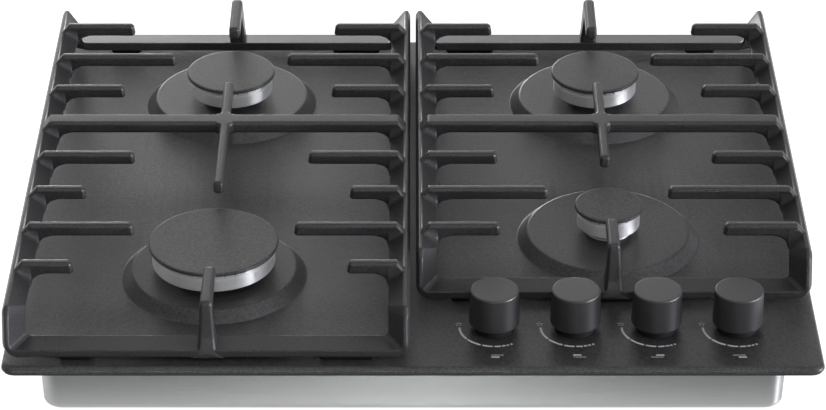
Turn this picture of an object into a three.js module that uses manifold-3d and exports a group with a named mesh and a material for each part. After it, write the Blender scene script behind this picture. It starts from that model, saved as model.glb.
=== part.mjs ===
// A built-in four-burner gas cooktop, in millimetres, +Z up.
// X runs to the right, Y to the back, and Z = 0 is the underside of the tray.
import * as THREE from 'three';
import { mergeVertices } from 'three/addons/utils/BufferGeometryUtils.js';
import Module from 'manifold-3d';

const wasm = await Module();
wasm.setup();

// ---- Driving dimensions -------------------------------------------------

const RUN_GAP = 0.3; // between pieces that move or fit in one another
const FACETS = { large: 24, medium: 18, small: 12, thin: 6 }; // round a full circle

// Top plate: a pressed sheet with a turned-down rim and a lip under it
const plate = {
  width: 600, depth: 520, sheet: 1.2,
  rim: 5, lip: 12, corner: 9, lipCorner: 2, edgeRadius: 2.6,
};
// Raised round platforms that the burners stand on
const platform = { baseRadius: 70, topRadius: 62.3, height: 8 };
// Tray that drops through the worktop cut-out
const tray = {
  width: 549, depth: 488, height: 46.8, wall: 1,
  draft: 1.5, corner: 14, bottomRadius: 6, flange: 5,
};
const seal = { width: 9, thickness: 1.5, inset: 1 };

// Pan supports: a bent ring, high along both sides and low along front and back
const grate = { width: 296.6, between: 4.4, railTop: 39, fingerTop: 46.4, backY: 254 };
const grateHalf = grate.width / 2;
const supportX = (side) => side * (grateHalf + grate.between / 2);

// Burners: where each stands, and the radii of its cap, crown and cup bore
const BURNER_SHIFT = 0.3; // outwards from the middle of its support
const BURNER_X = supportX(1) + BURNER_SHIFT;
const BACK_ROW_Y = 145;
const burnerSize = {
  large: { cap: 49.1, crown: 46.7, throat: 19 },
  medium: { cap: 36.3, crown: 34, throat: 14 },
  small: { cap: 26.4, crown: 24.1, throat: 9 },
};
const burners = [
  { name: 'front_left', x: -BURNER_X, y: -130, ...burnerSize.large, feedSide: 0 },
  { name: 'back_left', x: -BURNER_X, y: BACK_ROW_Y, ...burnerSize.medium, feedSide: 0 },
  { name: 'back_right', x: BURNER_X, y: BACK_ROW_Y, ...burnerSize.medium, feedSide: 180 },
  { name: 'front_right', x: BURNER_X, y: -75, ...burnerSize.small, feedSide: 0 },
];
const cap = { thickness: 3, rim: 1, lift: 14.7, skirt: 3, skirtWall: 2, under: 0.6 };
const crown = { lift: 5.3, wall: 3, bevel: 2, floor: 4, shoulder: 3.6, step: 0.7, spigot: 6, spigotWall: 2 };
const flamePort = { count: 8, width: 1.6, height: 2.4 };
const cup = {
  wall: 2, flange: 7, flangeHeight: 1.4, neck: 3, depth: 30,
  boss: 7, bossLength: 9, jet: 2.4, jetAbove: 9,
};
const electrode = { radius: 2.1, angle: 62, clear: 2.2, height: 12, tip: 0.8, tipHeight: 17, clip: 4.5 };
const thermocouple = { radius: 1.7, angle: 108, clear: 2.2, height: 14.5, clip: 3.5, bevel: 0.6 };
const STUD_BELOW = 16; // how far electrodes and thermocouples reach under the platform
const CLIP_THICKNESS = 1.5; // of the collar that clips each of them on the platform

// The supports' ring, rails and fingers
const GRATE_FRONTS = { left: -249.5, right: -168.5 };
const ring = { bend: 13.5, chamfer: 6, under: 3.2, bottomRadius: 10, innerRadius: 4 };
const sideRail = { bevel: 2.2, bevelDrop: 4.2, strip: 4.9, inner: 16, innerDrop: 7.5, thickness: 12 };
const lowRail = { strip: 5, depth: 19, inner: 7.2 };
const finger = { width: 7.8, height: 10, bevel: 1.9, tipSlant: 1.6, fillet: 9 };
const fingerRoot = { start: 3.2, end: 9.6, drop: 7.4, sink: 4 }; // its rise off the side rail
const crossbar = { y: 35, width: 15.4 };
const leg = { flare: 8, flareHeight: 13, sink: 2.2 }; // how the centre fingers' legs widen on the low rail
const ROW_PITCH = 55; // from a burner's middle row of fingers to the next row
const REACH = { near: 45.5, wide: 60, far: 83.5, outer: 101, between: 67.5 };
const foot = { outerWidth: 25, innerWidth: 40, depth: 12, inset: 0.6, outerX: 95, innerX: 102.3, round: 1.5 };

// Knobs and gas taps under them
const KNOB = { fromSide: 34.5, fromFront: 39.6, pitch: 60, clear: 6, height: 27.6 }; // in from the tray
const knobShape = { top: 18, body: 18.8, bevel: 0.9, foot: 16.6, footHeight: 1.8 };
const knobCavity = { radius: 15.8, height: 7 };
const knobHub = { radius: 5.6, foot: 3 }; // how far the hub stops above the knob's lower edge
const collar = { radius: 15.1, height: 6.3, bore: 6.6, step: 1.3, draft: 0.4 };
const spindle = { radius: 3, into: 16.5, spare: 1 }; // spare stays under it when it is pressed
const tap = {
  width: 24, length: 27, bottom: 12, height: 26, cover: 4,
  neck: 6, neckTop: 44, port: 2.2, screw: 4,
};
const plug = { radius: 8, height: 15, floor: 4, bevel: 0.6 };
const PRESS = 3; // travel of a knob against its spring
const gasRail = { radius: 6.5, wall: 1.4, back: 21.5, z: 22, past: 26, pad: 20 };
const tube = { radius: 3.2, bore: 2, sides: 8, steps: 20, bend: 24, outlet: 6 };
const elbow = {
  radius: 7.5, bore: 4.5, x: tray.width / 2 - 28.5, y: tray.depth / 2 - 48,
  bottom: 2, stub: 13, flange: 2.5, flangeHeight: 1.5,
};
const inletNut = { radius: 11, height: 9, spanner: 8, above: 2 }; // with the room left round and above it
const railPost = { width: 12, depth: 10 };
const generator = { width: 62, depth: 38, height: 24, shoulder: 8, step: 3, x: -95, y: 40 };
const terminal = { count: 4, radius: 2.5, height: 5, inset: 9 };
const ear = { reach: 11, width: 12, thickness: 3, hole: 2.2 }; // for its two screws

// ---- Heights worked out from them ---------------------------------------

const plateTop = tray.height + plate.sheet;
const plateUnder = plateTop - plate.sheet;
const rimBottom = plateTop - plate.rim;
const platformTop = plateTop + platform.height;
const halfPlate = { x: plate.width / 2, y: plate.depth / 2 };

// ---- Colours -------------------------------------------------------------

function finish(color, roughness, metalness) {
  return new THREE.MeshStandardMaterial({ color, roughness, metalness });
}

const enamel = finish(0x4a4a4a, 0.55, 0.2);
const castIron = finish(0x333333, 0.7, 0.1);
const steel = finish(0xa6a8a6, 0.4, 0.9);
const aluminium = finish(0xb8bab8, 0.35, 0.9);
const blackEnamel = finish(0x1a1a1a, 0.3, 0.1);
const blackPlastic = finish(0x202020, 0.5, 0);
const rubber = finish(0x101010, 0.9, 0);
const brass = finish(0xb08d4a, 0.35, 0.9);
const ceramic = finish(0xe8e6e0, 0.4, 0);

// ---- Shape helpers -------------------------------------------------------

// Merges shared vertices and turns the faces outward, whichever way the outline ran
function closed(geometry) {
  const open = geometry.clone();
  open.deleteAttribute('normal');
  open.deleteAttribute('uv');
  const merged = mergeVertices(open, 1e-4);
  const { array } = merged.index;
  if (signedVolume(merged) < 0) {
    for (let i = 0; i < array.length; i += 3) [array[i], array[i + 1]] = [array[i + 1], array[i]];
  }
  return merged;
}

function signedVolume(geometry) {
  const [a, b, c] = [new THREE.Vector3(), new THREE.Vector3(), new THREE.Vector3()];
  const { position } = geometry.attributes;
  let volume = 0;
  for (let i = 0; i < geometry.index.count; i += 3) {
    [a, b, c].forEach((corner, k) => corner.fromBufferAttribute(position, geometry.index.getX(i + k)));
    volume += a.dot(b.cross(c)) / 6;
  }
  return volume;
}

function solid(geometry) {
  const whole = closed(geometry);
  const mesh = new wasm.Mesh({
    numProp: 3,
    vertProperties: new Float32Array(whole.attributes.position.array),
    triVerts: new Uint32Array(whole.index.array),
  });
  return new wasm.Manifold(mesh);
}

function geometryOf(shape) {
  const mesh = shape.getMesh();
  const geometry = new THREE.BufferGeometry();
  const xyz = new Float32Array(mesh.triVerts.length * 3);
  mesh.triVerts.forEach((vertex, i) => {
    const start = mesh.numProp * vertex;
    xyz.set(mesh.vertProperties.subarray(start, start + 3), 3 * i);
  });
  geometry.setAttribute('position', new THREE.BufferAttribute(xyz, 3));
  geometry.computeVertexNormals();
  return geometry;
}

const joinAll = (geometries) => geometries.map(solid).reduce((whole, part) => whole.add(part));
const cutAll = (whole, cutters) => cutters.map(solid).reduce((left, part) => left.subtract(part), whole);

// A closed surface through rings with equal counts of points, capped at both ends
function loft(rings) {
  const count = rings[0].length;
  const points = rings.flat();
  const faces = [];
  for (let r = 0; r + 1 < rings.length; r += 1) {
    for (let i = 0; i < count; i += 1) {
      const a = r * count + i;
      const b = r * count + ((i + 1) % count);
      faces.push(a, b, b + count, a, b + count, a + count);
    }
  }
  const last = (rings.length - 1) * count;
  for (let i = 1; i + 1 < count; i += 1) {
    faces.push(0, i + 1, i);
    faces.push(last, last + i, last + i + 1);
  }
  return facesOf(points, faces);
}

// The same without caps: the last ring of points joins the first
function loopLoft(rings) {
  const count = rings[0].length;
  const faces = [];
  rings.forEach((_, r) => {
    const next = (r + 1) % rings.length;
    for (let i = 0; i < count; i += 1) {
      const j = (i + 1) % count;
      faces.push(r * count + i, r * count + j, next * count + j);
      faces.push(r * count + i, next * count + j, next * count + i);
    }
  });
  return facesOf(rings.flat(), faces);
}

function facesOf(points, faces) {
  const geometry = new THREE.BufferGeometry();
  const xyz = points.flatMap((p) => [p.x, p.y, p.z]);
  geometry.setAttribute('position', new THREE.Float32BufferAttribute(xyz, 3));
  geometry.setIndex(faces);
  return geometry;
}

// Points round a rectangle with round corners, anticlockwise seen from above
function roundedRing(halfX, halfY, radius, z, steps = 4) {
  const points = [];
  const corners = [[1, 1, 0], [-1, 1, 90], [-1, -1, 180], [1, -1, 270]];
  for (const [sx, sy, start] of corners) {
    for (let i = 0; i <= steps; i += 1) {
      const angle = THREE.MathUtils.degToRad(start + (90 * i) / steps);
      const x = sx * (halfX - radius) + radius * Math.cos(angle);
      const y = sy * (halfY - radius) + radius * Math.sin(angle);
      points.push(new THREE.Vector3(x, y, z));
    }
  }
  return points;
}

// A solid of revolution about Z from [radius, height] pairs
function turned(profile, steps = FACETS.medium) {
  const outline = profile.map(([r, z]) => new THREE.Vector2(r, z));
  const geometry = new THREE.LatheGeometry(outline, steps);
  geometry.rotateX(Math.PI / 2);
  return geometry;
}

// A ring of revolution: its profile closes on itself
const turnedRing = (profile, steps = FACETS.medium) => turned([...profile, profile[0]], steps);

function rod(radius, bottom, top, x = 0, y = 0, steps = FACETS.small) {
  const geometry = new THREE.CylinderGeometry(radius, radius, top - bottom, steps);
  geometry.rotateX(Math.PI / 2);
  geometry.translate(x, y, (top + bottom) / 2);
  return geometry;
}

function block(width, depth, height, x, y, bottom) {
  const geometry = new THREE.BoxGeometry(width, depth, height);
  geometry.translate(x, y, bottom + height / 2);
  return geometry;
}

const polar = (radius, degrees) => {
  const angle = THREE.MathUtils.degToRad(degrees);
  return new THREE.Vector2(radius * Math.cos(angle), radius * Math.sin(angle));
};

// ---- The model -----------------------------------------------------------

const cooktop = new THREE.Group();

function place(name, shape, material, x = 0, y = 0, z = 0) {
  const geometry = geometryOf(shape instanceof THREE.BufferGeometry ? solid(shape) : shape);
  const mesh = new THREE.Mesh(geometry, material);
  mesh.name = name;
  mesh.position.set(x, y, z);
  cooktop.add(mesh);
  return mesh;
}

const throatHole = (burner) => burner.throat + cup.wall + RUN_GAP;
const studPlace = (burner, piece) => {
  const offset = polar(burner.crown + piece.clear + piece.radius, piece.angle);
  return new THREE.Vector2(burner.x + offset.x, burner.y + offset.y);
};
const knobX = (index) => tray.width / 2 - KNOB.fromSide - (burners.length - 1 - index) * KNOB.pitch;
const knobY = KNOB.fromFront - tray.depth / 2;

// Top plate with its platforms, burner holes, stud holes and spindle holes
function topPlate() {
  const inside = plate.sheet;
  const ringAt = (inset, z, radius) => roundedRing(halfPlate.x - inset, halfPlate.y - inset, radius, z);
  const edge = [];
  for (let i = 0; i <= 2; i += 1) {
    const angle = (Math.PI / 2) * (i / 2);
    const inset = plate.edgeRadius * (1 - Math.cos(angle));
    const z = plateTop - plate.edgeRadius * (1 - Math.sin(angle));
    edge.push(ringAt(inset, z, plate.corner - inset * 0.5));
  }
  const sheet = loft([
    ringAt(inside, plateUnder, plate.corner - inside),
    ringAt(inside, rimBottom + inside, plate.corner - inside),
    ringAt(plate.lip, rimBottom + inside, plate.lipCorner),
    ringAt(plate.lip, rimBottom, plate.lipCorner),
    ringAt(0, rimBottom, plate.corner),
    ...edge,
  ]);
  let whole = solid(sheet);
  for (const burner of burners) {
    const t = plate.sheet;
    const { baseRadius, topRadius } = platform;
    const hole = rod(baseRadius - t / 2, plateUnder - t, plateTop + t, burner.x, burner.y, FACETS.large);
    const dish = turnedRing([
      [throatHole(burner), platformTop - t],
      [topRadius - t, platformTop - t],
      [baseRadius - 1.5 * t, plateUnder],
      [baseRadius + t, plateUnder],
      [baseRadius, plateTop],
      [topRadius, platformTop],
      [throatHole(burner), platformTop],
    ], FACETS.large);
    dish.translate(burner.x, burner.y, 0);
    whole = whole.subtract(solid(hole)).add(solid(dish));
    for (const piece of [electrode, thermocouple]) {
      const at = studPlace(burner, piece);
      const stud = rod(piece.radius + RUN_GAP, plateUnder, platformTop + t, at.x, at.y, FACETS.thin);
      whole = whole.subtract(solid(stud));
    }
  }
  const neckHole = (_, i) => rod(tap.neck + RUN_GAP, rimBottom, platformTop, knobX(i), knobY);
  return cutAll(whole, burners.map(neckHole));
}

// Tray: drafted walls, round bottom edge, and a flange that meets the plate
function baseTray() {
  const half = { x: tray.width / 2, y: tray.depth / 2 };
  const ringAt = (inset, z, radius) => roundedRing(half.x - inset, half.y - inset, radius, z);
  const draftAt = (z) => tray.draft * (1 - z / tray.height);
  const bend = (inside) => {
    const radius = tray.bottomRadius - inside;
    const rings = [];
    for (let i = 0; i <= 3; i += 1) {
      const angle = (Math.PI / 2) * (i / 3);
      const inset = inside + radius * (1 - Math.sin(angle)) + draftAt(tray.bottomRadius);
      rings.push(ringAt(inset, inside + radius * (1 - Math.cos(angle)), tray.corner - inset / 2));
    }
    return rings;
  };
  const flangeZ = tray.height - tray.wall;
  return solid(loft([
    ...bend(0),
    ringAt(0, flangeZ, tray.corner),
    ringAt(-tray.flange, flangeZ, tray.corner + tray.flange),
    ringAt(-tray.flange, tray.height, tray.corner + tray.flange),
    ringAt(tray.wall, tray.height, tray.corner - tray.wall),
    ...bend(tray.wall).reverse(),
  ]));
}

// A pocket in the tray's floor takes the gas inlet, so that nothing hangs below the tray
const pocket = {
  radius: inletNut.radius + inletNut.spanner,
  height: elbow.bottom + inletNut.height + inletNut.above,
};

function trayWithPocket() {
  const floor = tray.wall;
  const cutter = rod(pocket.radius - floor, -floor, pocket.height, elbow.x, elbow.y, FACETS.medium);
  const dome = turnedRing([
    [elbow.radius + RUN_GAP, pocket.height],
    [elbow.radius + RUN_GAP, pocket.height + floor],
    [pocket.radius, pocket.height + floor],
    [pocket.radius, 0],
    [pocket.radius - floor, 0],
    [pocket.radius - floor, pocket.height],
  ]);
  dome.translate(elbow.x, elbow.y, 0);
  return baseTray().subtract(solid(cutter)).add(solid(dome));
}

function rimSeal() {
  const low = rimBottom - seal.thickness;
  const ringAt = (across, z, radius) => {
    const inset = seal.inset + across;
    return roundedRing(halfPlate.x - inset, halfPlate.y - inset, radius, z);
  };
  return loopLoft([
    ringAt(0, low, plate.corner),
    ringAt(0, rimBottom, plate.corner),
    ringAt(seal.width, rimBottom, plate.lipCorner),
    ringAt(seal.width, low, plate.lipCorner),
  ]);
}

// ---- Burners -------------------------------------------------------------

const crownFoot = platformTop + crown.lift;
const capFoot = crownFoot + cap.lift;

// Cup under the platform: the mixing throat, its flange and the injector boss
function burnerCup(burner) {
  const top = platformTop + cup.flangeHeight;
  const low = platformTop - cup.depth;
  const outer = burner.throat + cup.wall;
  const shell = turnedRing([
    [burner.throat, top + cup.neck],
    [outer, top + cup.neck],
    [outer, top],
    [outer + cup.flange, top],
    [outer + cup.flange, platformTop],
    [outer, platformTop],
    [outer, low],
    [burner.throat, low],
  ]);
  const floor = rod(burner.throat + cup.wall / 2, low, low + cup.wall);
  const side = THREE.MathUtils.degToRad(burner.feedSide);
  const bossAt = (from, to, radius) => {
    const geometry = new THREE.CylinderGeometry(radius, radius, to - from, FACETS.small);
    geometry.rotateZ(Math.PI / 2);
    geometry.translate((from + to) / 2, 0, feedZ);
    geometry.rotateZ(side);
    return geometry;
  };
  const boss = bossAt(burner.throat + cup.wall / 2, outer + cup.bossLength, cup.boss);
  const jet = bossAt(burner.throat / 2, outer + cup.bossLength + 1, cup.jet);
  return cutAll(joinAll([shell, floor, boss]), [jet]);
}

// Crown: a toothed ring with a spigot that drops into the cup
function burnerCrown(burner) {
  const r = burner.crown;
  const { wall, bevel, step } = crown;
  const spigot = burner.throat - RUN_GAP;
  const bore = spigot - crown.spigotWall;
  const spigotFoot = platformTop - crown.spigot;
  const seat = platformTop + cup.flangeHeight + cup.neck;
  const body = turnedRing([
    [bore, spigotFoot],
    [spigot, spigotFoot],
    [spigot, seat],
    [burner.throat + cup.wall + bevel, seat],
    [r - bevel, crownFoot],
    [r, crownFoot + bevel / 2],
    [r, capFoot - crown.shoulder - step],
    [r - step, capFoot - crown.shoulder],
    [r - step, capFoot],
    [r - wall - step, capFoot],
    [r - wall - step, crownFoot + crown.floor],
    [bore, crownFoot + bevel / 2],
  ], FACETS.large);
  const slots = [];
  for (let i = 0; i < flamePort.count; i += 1) {
    const { width, height } = flamePort;
    const slot = block(2 * wall, width, 2 * height, r - wall / 2, 0, capFoot - height);
    slot.rotateZ((2 * Math.PI * i) / flamePort.count);
    slots.push(slot);
  }
  return cutAll(solid(body), slots);
}

// Cap: an enamelled disc with a locating skirt inside the crown
function burnerCap(burner) {
  const r = burner.cap;
  const top = capFoot + cap.thickness;
  const skirt = burner.crown - crown.wall - crown.step - RUN_GAP;
  const { skirtWall } = cap;
  const rim = [];
  for (let i = 0; i <= 2; i += 1) {
    const angle = (Math.PI / 2) * (i / 2);
    rim.push([r - cap.rim * (1 - Math.cos(angle)), top - cap.rim * (1 - Math.sin(angle))]);
  }
  return turned([
    [0, capFoot],
    [skirt - skirtWall, capFoot],
    [skirt - skirtWall, capFoot - cap.skirt],
    [skirt, capFoot - cap.skirt],
    [skirt, capFoot],
    [r - cap.under, capFoot],
    ...rim,
    [0, top],
  ], FACETS.large);
}

// Ceramic spark plug with its metal tip, clipped on the platform
function sparkElectrode() {
  const { radius, height, tip, tipHeight, clip } = electrode;
  return turned([
    [0, platformTop - STUD_BELOW],
    [radius, platformTop - STUD_BELOW],
    [radius, platformTop],
    [clip, platformTop],
    [clip, platformTop + CLIP_THICKNESS],
    [radius, platformTop + CLIP_THICKNESS],
    [radius, platformTop + height],
    [tip, platformTop + height],
    [tip, platformTop + tipHeight],
    [0, platformTop + tipHeight],
  ], FACETS.thin);
}

function flameSensor() {
  const { radius, height, clip, bevel } = thermocouple;
  return turned([
    [0, platformTop - STUD_BELOW],
    [radius, platformTop - STUD_BELOW],
    [radius, platformTop],
    [clip, platformTop],
    [clip, platformTop + CLIP_THICKNESS],
    [radius, platformTop + CLIP_THICKNESS],
    [radius, platformTop + height - bevel],
    [radius - bevel, platformTop + height],
    [0, platformTop + height],
  ], FACETS.thin);
}

// ---- Pan supports --------------------------------------------------------

// One corner of the ring, from the high side rail round to the low rail.
// Points are [across from the outer side, back from the low rail's outer face, height].
function cornerSections() {
  const top = grate.railTop;
  const railLow = top - sideRail.thickness;
  const { bend, chamfer, under, bottomRadius, innerRadius } = ring;
  const { bevel, bevelDrop, strip, inner, innerDrop } = sideRail;
  const postTop = bend - chamfer;
  const innerTop = top - innerDrop;
  const innerLow = under + lowRail.inner;
  const back = lowRail.depth;
  const sections = [
    // end of the side rail, where the strip bends over
    [[0, back + 4, railLow], [0, bend, top - bevelDrop], [bevel, bend, top], [strip, bend, top],
      [inner, bend + 13, innerTop], [inner - 1, back + 6, railLow]],
    // top of the post, below the bend's facet
    [[0, back + 1, railLow - 4], [0, postTop + bevelDrop, top - chamfer],
      [bevel, postTop, top - chamfer], [strip, postTop, top - chamfer],
      [inner, postTop + 17.5, innerTop - 5], [inner - 1, back + 4, railLow - 6]],
  ];
  const turns = 4;
  for (let i = 0; i <= turns; i += 1) {
    const t = i / turns;
    const angle = (Math.PI / 2) * t;
    const outerAt = (inset, y) => [
      bottomRadius - (bottomRadius - inset) * Math.cos(angle),
      y,
      under + bottomRadius - (bottomRadius - inset) * Math.sin(angle),
    ];
    const mix = (a, b) => a + (b - a) * t;
    const turnX = inner + innerRadius * (1 - Math.cos(angle));
    const turnZ = innerLow + innerRadius * (1 - Math.sin(angle));
    sections.push([
      outerAt(0, mix(back - 3, back - 6)),
      outerAt(0, mix(bevelDrop, 1)),
      outerAt(mix(bevel, 1), 0),
      outerAt(mix(strip, lowRail.strip), 0),
      [turnX, back, turnZ],
      [mix(inner - 1, inner + innerRadius), back + mix(1, 0), mix(innerLow, under)],
    ]);
  }
  return sections;
}

// The whole ring: four corners, mirrored into place and joined in one loop
function supportRing(frontY) {
  const sections = cornerSections();
  const corner = (sx, sy, faceY) => sections.map((points) => points.map(([across, back, z]) => (
    new THREE.Vector3(sx * (grateHalf - across), sy > 0 ? faceY - back : faceY + back, z + plateTop)
  )));
  const frontLeft = corner(-1, -1, frontY);
  const frontRight = corner(1, -1, frontY).reverse();
  const backRight = corner(1, 1, grate.backY);
  const backLeft = corner(-1, 1, grate.backY).reverse();
  return loopLoft([...frontLeft, ...frontRight, ...backRight, ...backLeft]);
}

// Extrudes an outline with bevelled long edges, centred on its plane
function bevelled(outline, width, bevel) {
  const geometry = new THREE.ExtrudeGeometry(outline, {
    depth: width - 2 * bevel,
    bevelThickness: bevel,
    bevelSize: bevel,
    bevelOffset: -bevel,
    bevelSegments: 1,
    curveSegments: 4,
  });
  geometry.translate(0, 0, bevel - width / 2);
  return geometry;
}

// Side view of a finger: it rises off the rail's strip and runs in to its tip.
// Distances run from the ring's outer side; z runs from the plate.
function fingerOutline(reach) {
  const top = grate.fingerTop;
  const low = top - finger.height;
  const { bevel, fillet, tipSlant } = finger;
  const rootTop = top - fingerRoot.drop;
  const innerZ = grate.railTop - sideRail.innerDrop;
  const outline = new THREE.Shape();
  outline.moveTo(fingerRoot.start, rootTop - fingerRoot.sink);
  outline.lineTo(fingerRoot.start, rootTop);
  outline.lineTo(fingerRoot.end, top);
  outline.lineTo(reach - tipSlant, top);
  outline.lineTo(reach, low + bevel);
  outline.lineTo(reach - bevel, low);
  outline.lineTo(sideRail.inner + fillet - 0.6, low);
  outline.quadraticCurveTo(sideRail.inner + 1, low, sideRail.inner - 1, innerZ - 1);
  outline.lineTo(sideRail.inner - 4, innerZ - 3);
  return outline;
}

// A side finger points along X from the rail on its side of the support
function sideFinger(side, y, tipX) {
  const reach = grateHalf - Math.abs(tipX);
  const geometry = bevelled(fingerOutline(reach), finger.width, finger.bevel);
  geometry.rotateX(Math.PI / 2);
  geometry.translate(-grateHalf, 0, plateTop);
  if (side > 0) geometry.rotateZ(Math.PI);
  geometry.translate(0, y, 0);
  return geometry;
}

// The crossbar joins both side rails
function crossBar() {
  const top = grate.fingerTop;
  const low = top - finger.height;
  const rootTop = top - fingerRoot.drop;
  const innerZ = grate.railTop - sideRail.innerDrop;
  const side = [
    [fingerRoot.start, rootTop - fingerRoot.sink],
    [fingerRoot.start, rootTop],
    [fingerRoot.end, top],
  ];
  const under = [
    [sideRail.inner - 4, innerZ - 3],
    [sideRail.inner - 1, innerZ - 1],
    [sideRail.inner + 1.5, low - 1.5],
    [sideRail.inner + finger.fillet - 2, low],
  ];
  const left = ([across, z]) => new THREE.Vector2(across - grateHalf, z);
  const right = ([across, z]) => new THREE.Vector2(grateHalf - across, z);
  const points = [
    ...side.map(left),
    ...side.map(right).reverse(),
    ...under.map(right),
    ...under.map(left).reverse(),
  ];
  const geometry = bevelled(new THREE.Shape(points), crossbar.width, finger.bevel);
  geometry.rotateX(Math.PI / 2);
  geometry.translate(0, crossbar.y, plateTop);
  return geometry;
}

// A centre finger rises from the low rail as a leg and runs along Y to its tip
function centreFinger(end, faceY, tipY) {
  const top = grate.fingerTop;
  const low = top - finger.height;
  const reach = Math.abs(faceY - tipY);
  const { bend, chamfer } = ring;
  const legTop = bend - chamfer;
  const outline = new THREE.Shape();
  outline.moveTo(1, ring.under + 1);
  outline.lineTo(0.6, ring.under + lowRail.strip);
  outline.lineTo(legTop - 1.6, top - 2);
  outline.lineTo(legTop + 0.4, top);
  outline.lineTo(reach - finger.tipSlant, top);
  outline.lineTo(reach, low + finger.bevel);
  outline.lineTo(reach - finger.bevel, low);
  outline.lineTo(lowRail.depth + finger.fillet, low);
  outline.quadraticCurveTo(lowRail.depth, low, lowRail.depth - 1.5, low - finger.fillet);
  outline.lineTo(lowRail.depth - 1, ring.under + 1);
  return [bevelled(outline, finger.width, finger.bevel), legFlare()].map((geometry) => {
    geometry.rotateX(Math.PI / 2);
    geometry.rotateZ(Math.PI / 2);
    if (end > 0) geometry.rotateZ(Math.PI);
    geometry.translate(0, faceY, plateTop);
    return geometry;
  });
}

// The leg widens where it meets the low rail
function legFlare() {
  const z = ring.under + lowRail.strip - leg.sink;
  const wide = finger.width / 2 + leg.flare;
  const narrow = finger.width / 2 - 1;
  const at = (y, half, height) => [
    new THREE.Vector3(y, height, -half),
    new THREE.Vector3(y, height, half),
  ];
  const back = lowRail.depth - 2;
  const low = [...at(1.4, wide, z), ...at(back, wide, z).reverse()];
  const highZ = z + leg.flareHeight;
  const high = [...at(2, narrow, highZ), ...at(back - 1, narrow, highZ).reverse()];
  const middle = [...at(1.5, wide - 4, z + 4.4), ...at(back, wide - 4, z + 5.4).reverse()];
  return loft([low, middle, high]);
}

// The bar between the two burners, which crosses the crossbar
function spine(front, back) {
  const top = grate.fingerTop;
  const low = top - finger.height;
  const { bevel, tipSlant } = finger;
  const outline = new THREE.Shape();
  outline.moveTo(front, low + bevel);
  outline.lineTo(front + tipSlant, top);
  outline.lineTo(back - tipSlant, top);
  outline.lineTo(back, low + bevel);
  outline.lineTo(back - bevel, low);
  outline.lineTo(front + bevel, low);
  const bar = bevelled(outline, finger.width, bevel);
  bar.rotateX(Math.PI / 2);
  bar.rotateZ(Math.PI / 2);
  bar.translate(0, 0, plateTop);
  return bar;
}

function panSupport(side, frontY, rows, centre) {
  const x = supportX(side);
  const shift = side * BURNER_X - x;
  const parts = [supportRing(frontY), crossBar()];
  for (const { y, reach } of rows) {
    parts.push(sideFinger(-1, y, shift - reach));
    parts.push(sideFinger(1, y, shift + reach));
  }
  const [backTip, spineBack, spineFront, frontTip] = centre;
  const middles = [
    spine(spineFront, spineBack),
    ...centreFinger(1, grate.backY, backTip),
    ...centreFinger(-1, frontY, frontTip),
  ];
  for (const part of middles) part.translate(shift, 0, 0);
  const whole = joinAll([...parts, ...middles]);
  return place(side < 0 ? 'pan_support_left' : 'pan_support_right', whole, castIron, x);
}

// Rubber feet under the corners of a support
function supportFeet(side, frontY) {
  const sideName = side < 0 ? 'left' : 'right';
  const sites = [
    { name: 'outer', x: side * foot.outerX, width: foot.outerWidth },
    { name: 'inner', x: -side * foot.innerX, width: foot.innerWidth },
  ];
  for (const [end, faceY, towards] of [['front', frontY, 1], ['back', grate.backY, -1]]) {
    for (const site of sites) {
      const r = foot.round;
      const half = { x: site.width / 2, y: foot.depth / 2 };
      const pad = loft([
        roundedRing(half.x - r, half.y - r, 1, 0, 2),
        roundedRing(half.x, half.y, 2, r, 2),
        roundedRing(half.x, half.y, 2, ring.under, 2),
      ]);
      const depthIn = end === 'front' ? foot.inset + half.y : lowRail.depth - half.y;
      const y = faceY + towards * depthIn;
      const name = `support_foot_${sideName}_${end}_${site.name}`;
      place(name, pad, rubber, side * BURNER_X + site.x, y, plateTop);
    }
  }
}

// ---- Knobs and taps ------------------------------------------------------

function knob() {
  const { top, body, bevel, foot: lowRadius, footHeight } = knobShape;
  const low = KNOB.clear;
  const high = low + KNOB.height;
  const bore = spindle.radius + RUN_GAP / 2;
  return turned([
    [0, low + spindle.into + RUN_GAP],
    [bore, low + spindle.into + RUN_GAP],
    [bore, low + knobHub.foot],
    [knobHub.radius, low + knobHub.foot],
    [knobHub.radius, low + knobCavity.height],
    [knobCavity.radius, low + knobCavity.height],
    [knobCavity.radius, low],
    [lowRadius, low],
    [body, low + footHeight],
    [top, high - bevel],
    [top - bevel, high],
    [0, high],
  ]);
}

function knobSeal() {
  const { radius, height, bore, step, draft } = collar;
  return turnedRing([
    [bore, 0],
    [radius, 0],
    [radius - draft, height - step],
    [radius - step, height],
    [bore, height],
  ]);
}

// Tap body: a block with the plug's chamber, a neck, and gas ports front to back
function tapBody() {
  const chamber = plug.radius + RUN_GAP;
  const floor = tap.bottom + tap.cover;
  const shellBlock = block(tap.width, tap.length, tap.height, 0, 0, tap.bottom);
  const neck = rod(tap.neck, tap.bottom + tap.height - 1, tap.neckTop);
  const stub = 2 * tube.radius;
  const outletY = (tap.length + tube.outlet - 1) / 2;
  const outlet = block(stub, tube.outlet + 1, stub, 0, outletY, outletZ - tube.radius);
  const port = (radius, z, from, to) => {
    const geometry = new THREE.CylinderGeometry(radius, radius, to - from, FACETS.thin);
    geometry.translate(0, (from + to) / 2, z);
    return geometry;
  };
  return cutAll(joinAll([shellBlock, neck, outlet]), [
    rod(chamber, floor, floor + plug.height + 2 * RUN_GAP, 0, 0, FACETS.medium),
    rod(spindle.radius + RUN_GAP, floor, tap.neckTop + 1),
    rod(tap.screw, tap.bottom - 1, floor + 1),
    port(tap.port, gasRail.z, 0, tap.length / 2 + 1),
    port(tube.bore, outletZ, 0, tap.length / 2 + tube.outlet + 1),
  ]);
}

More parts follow.
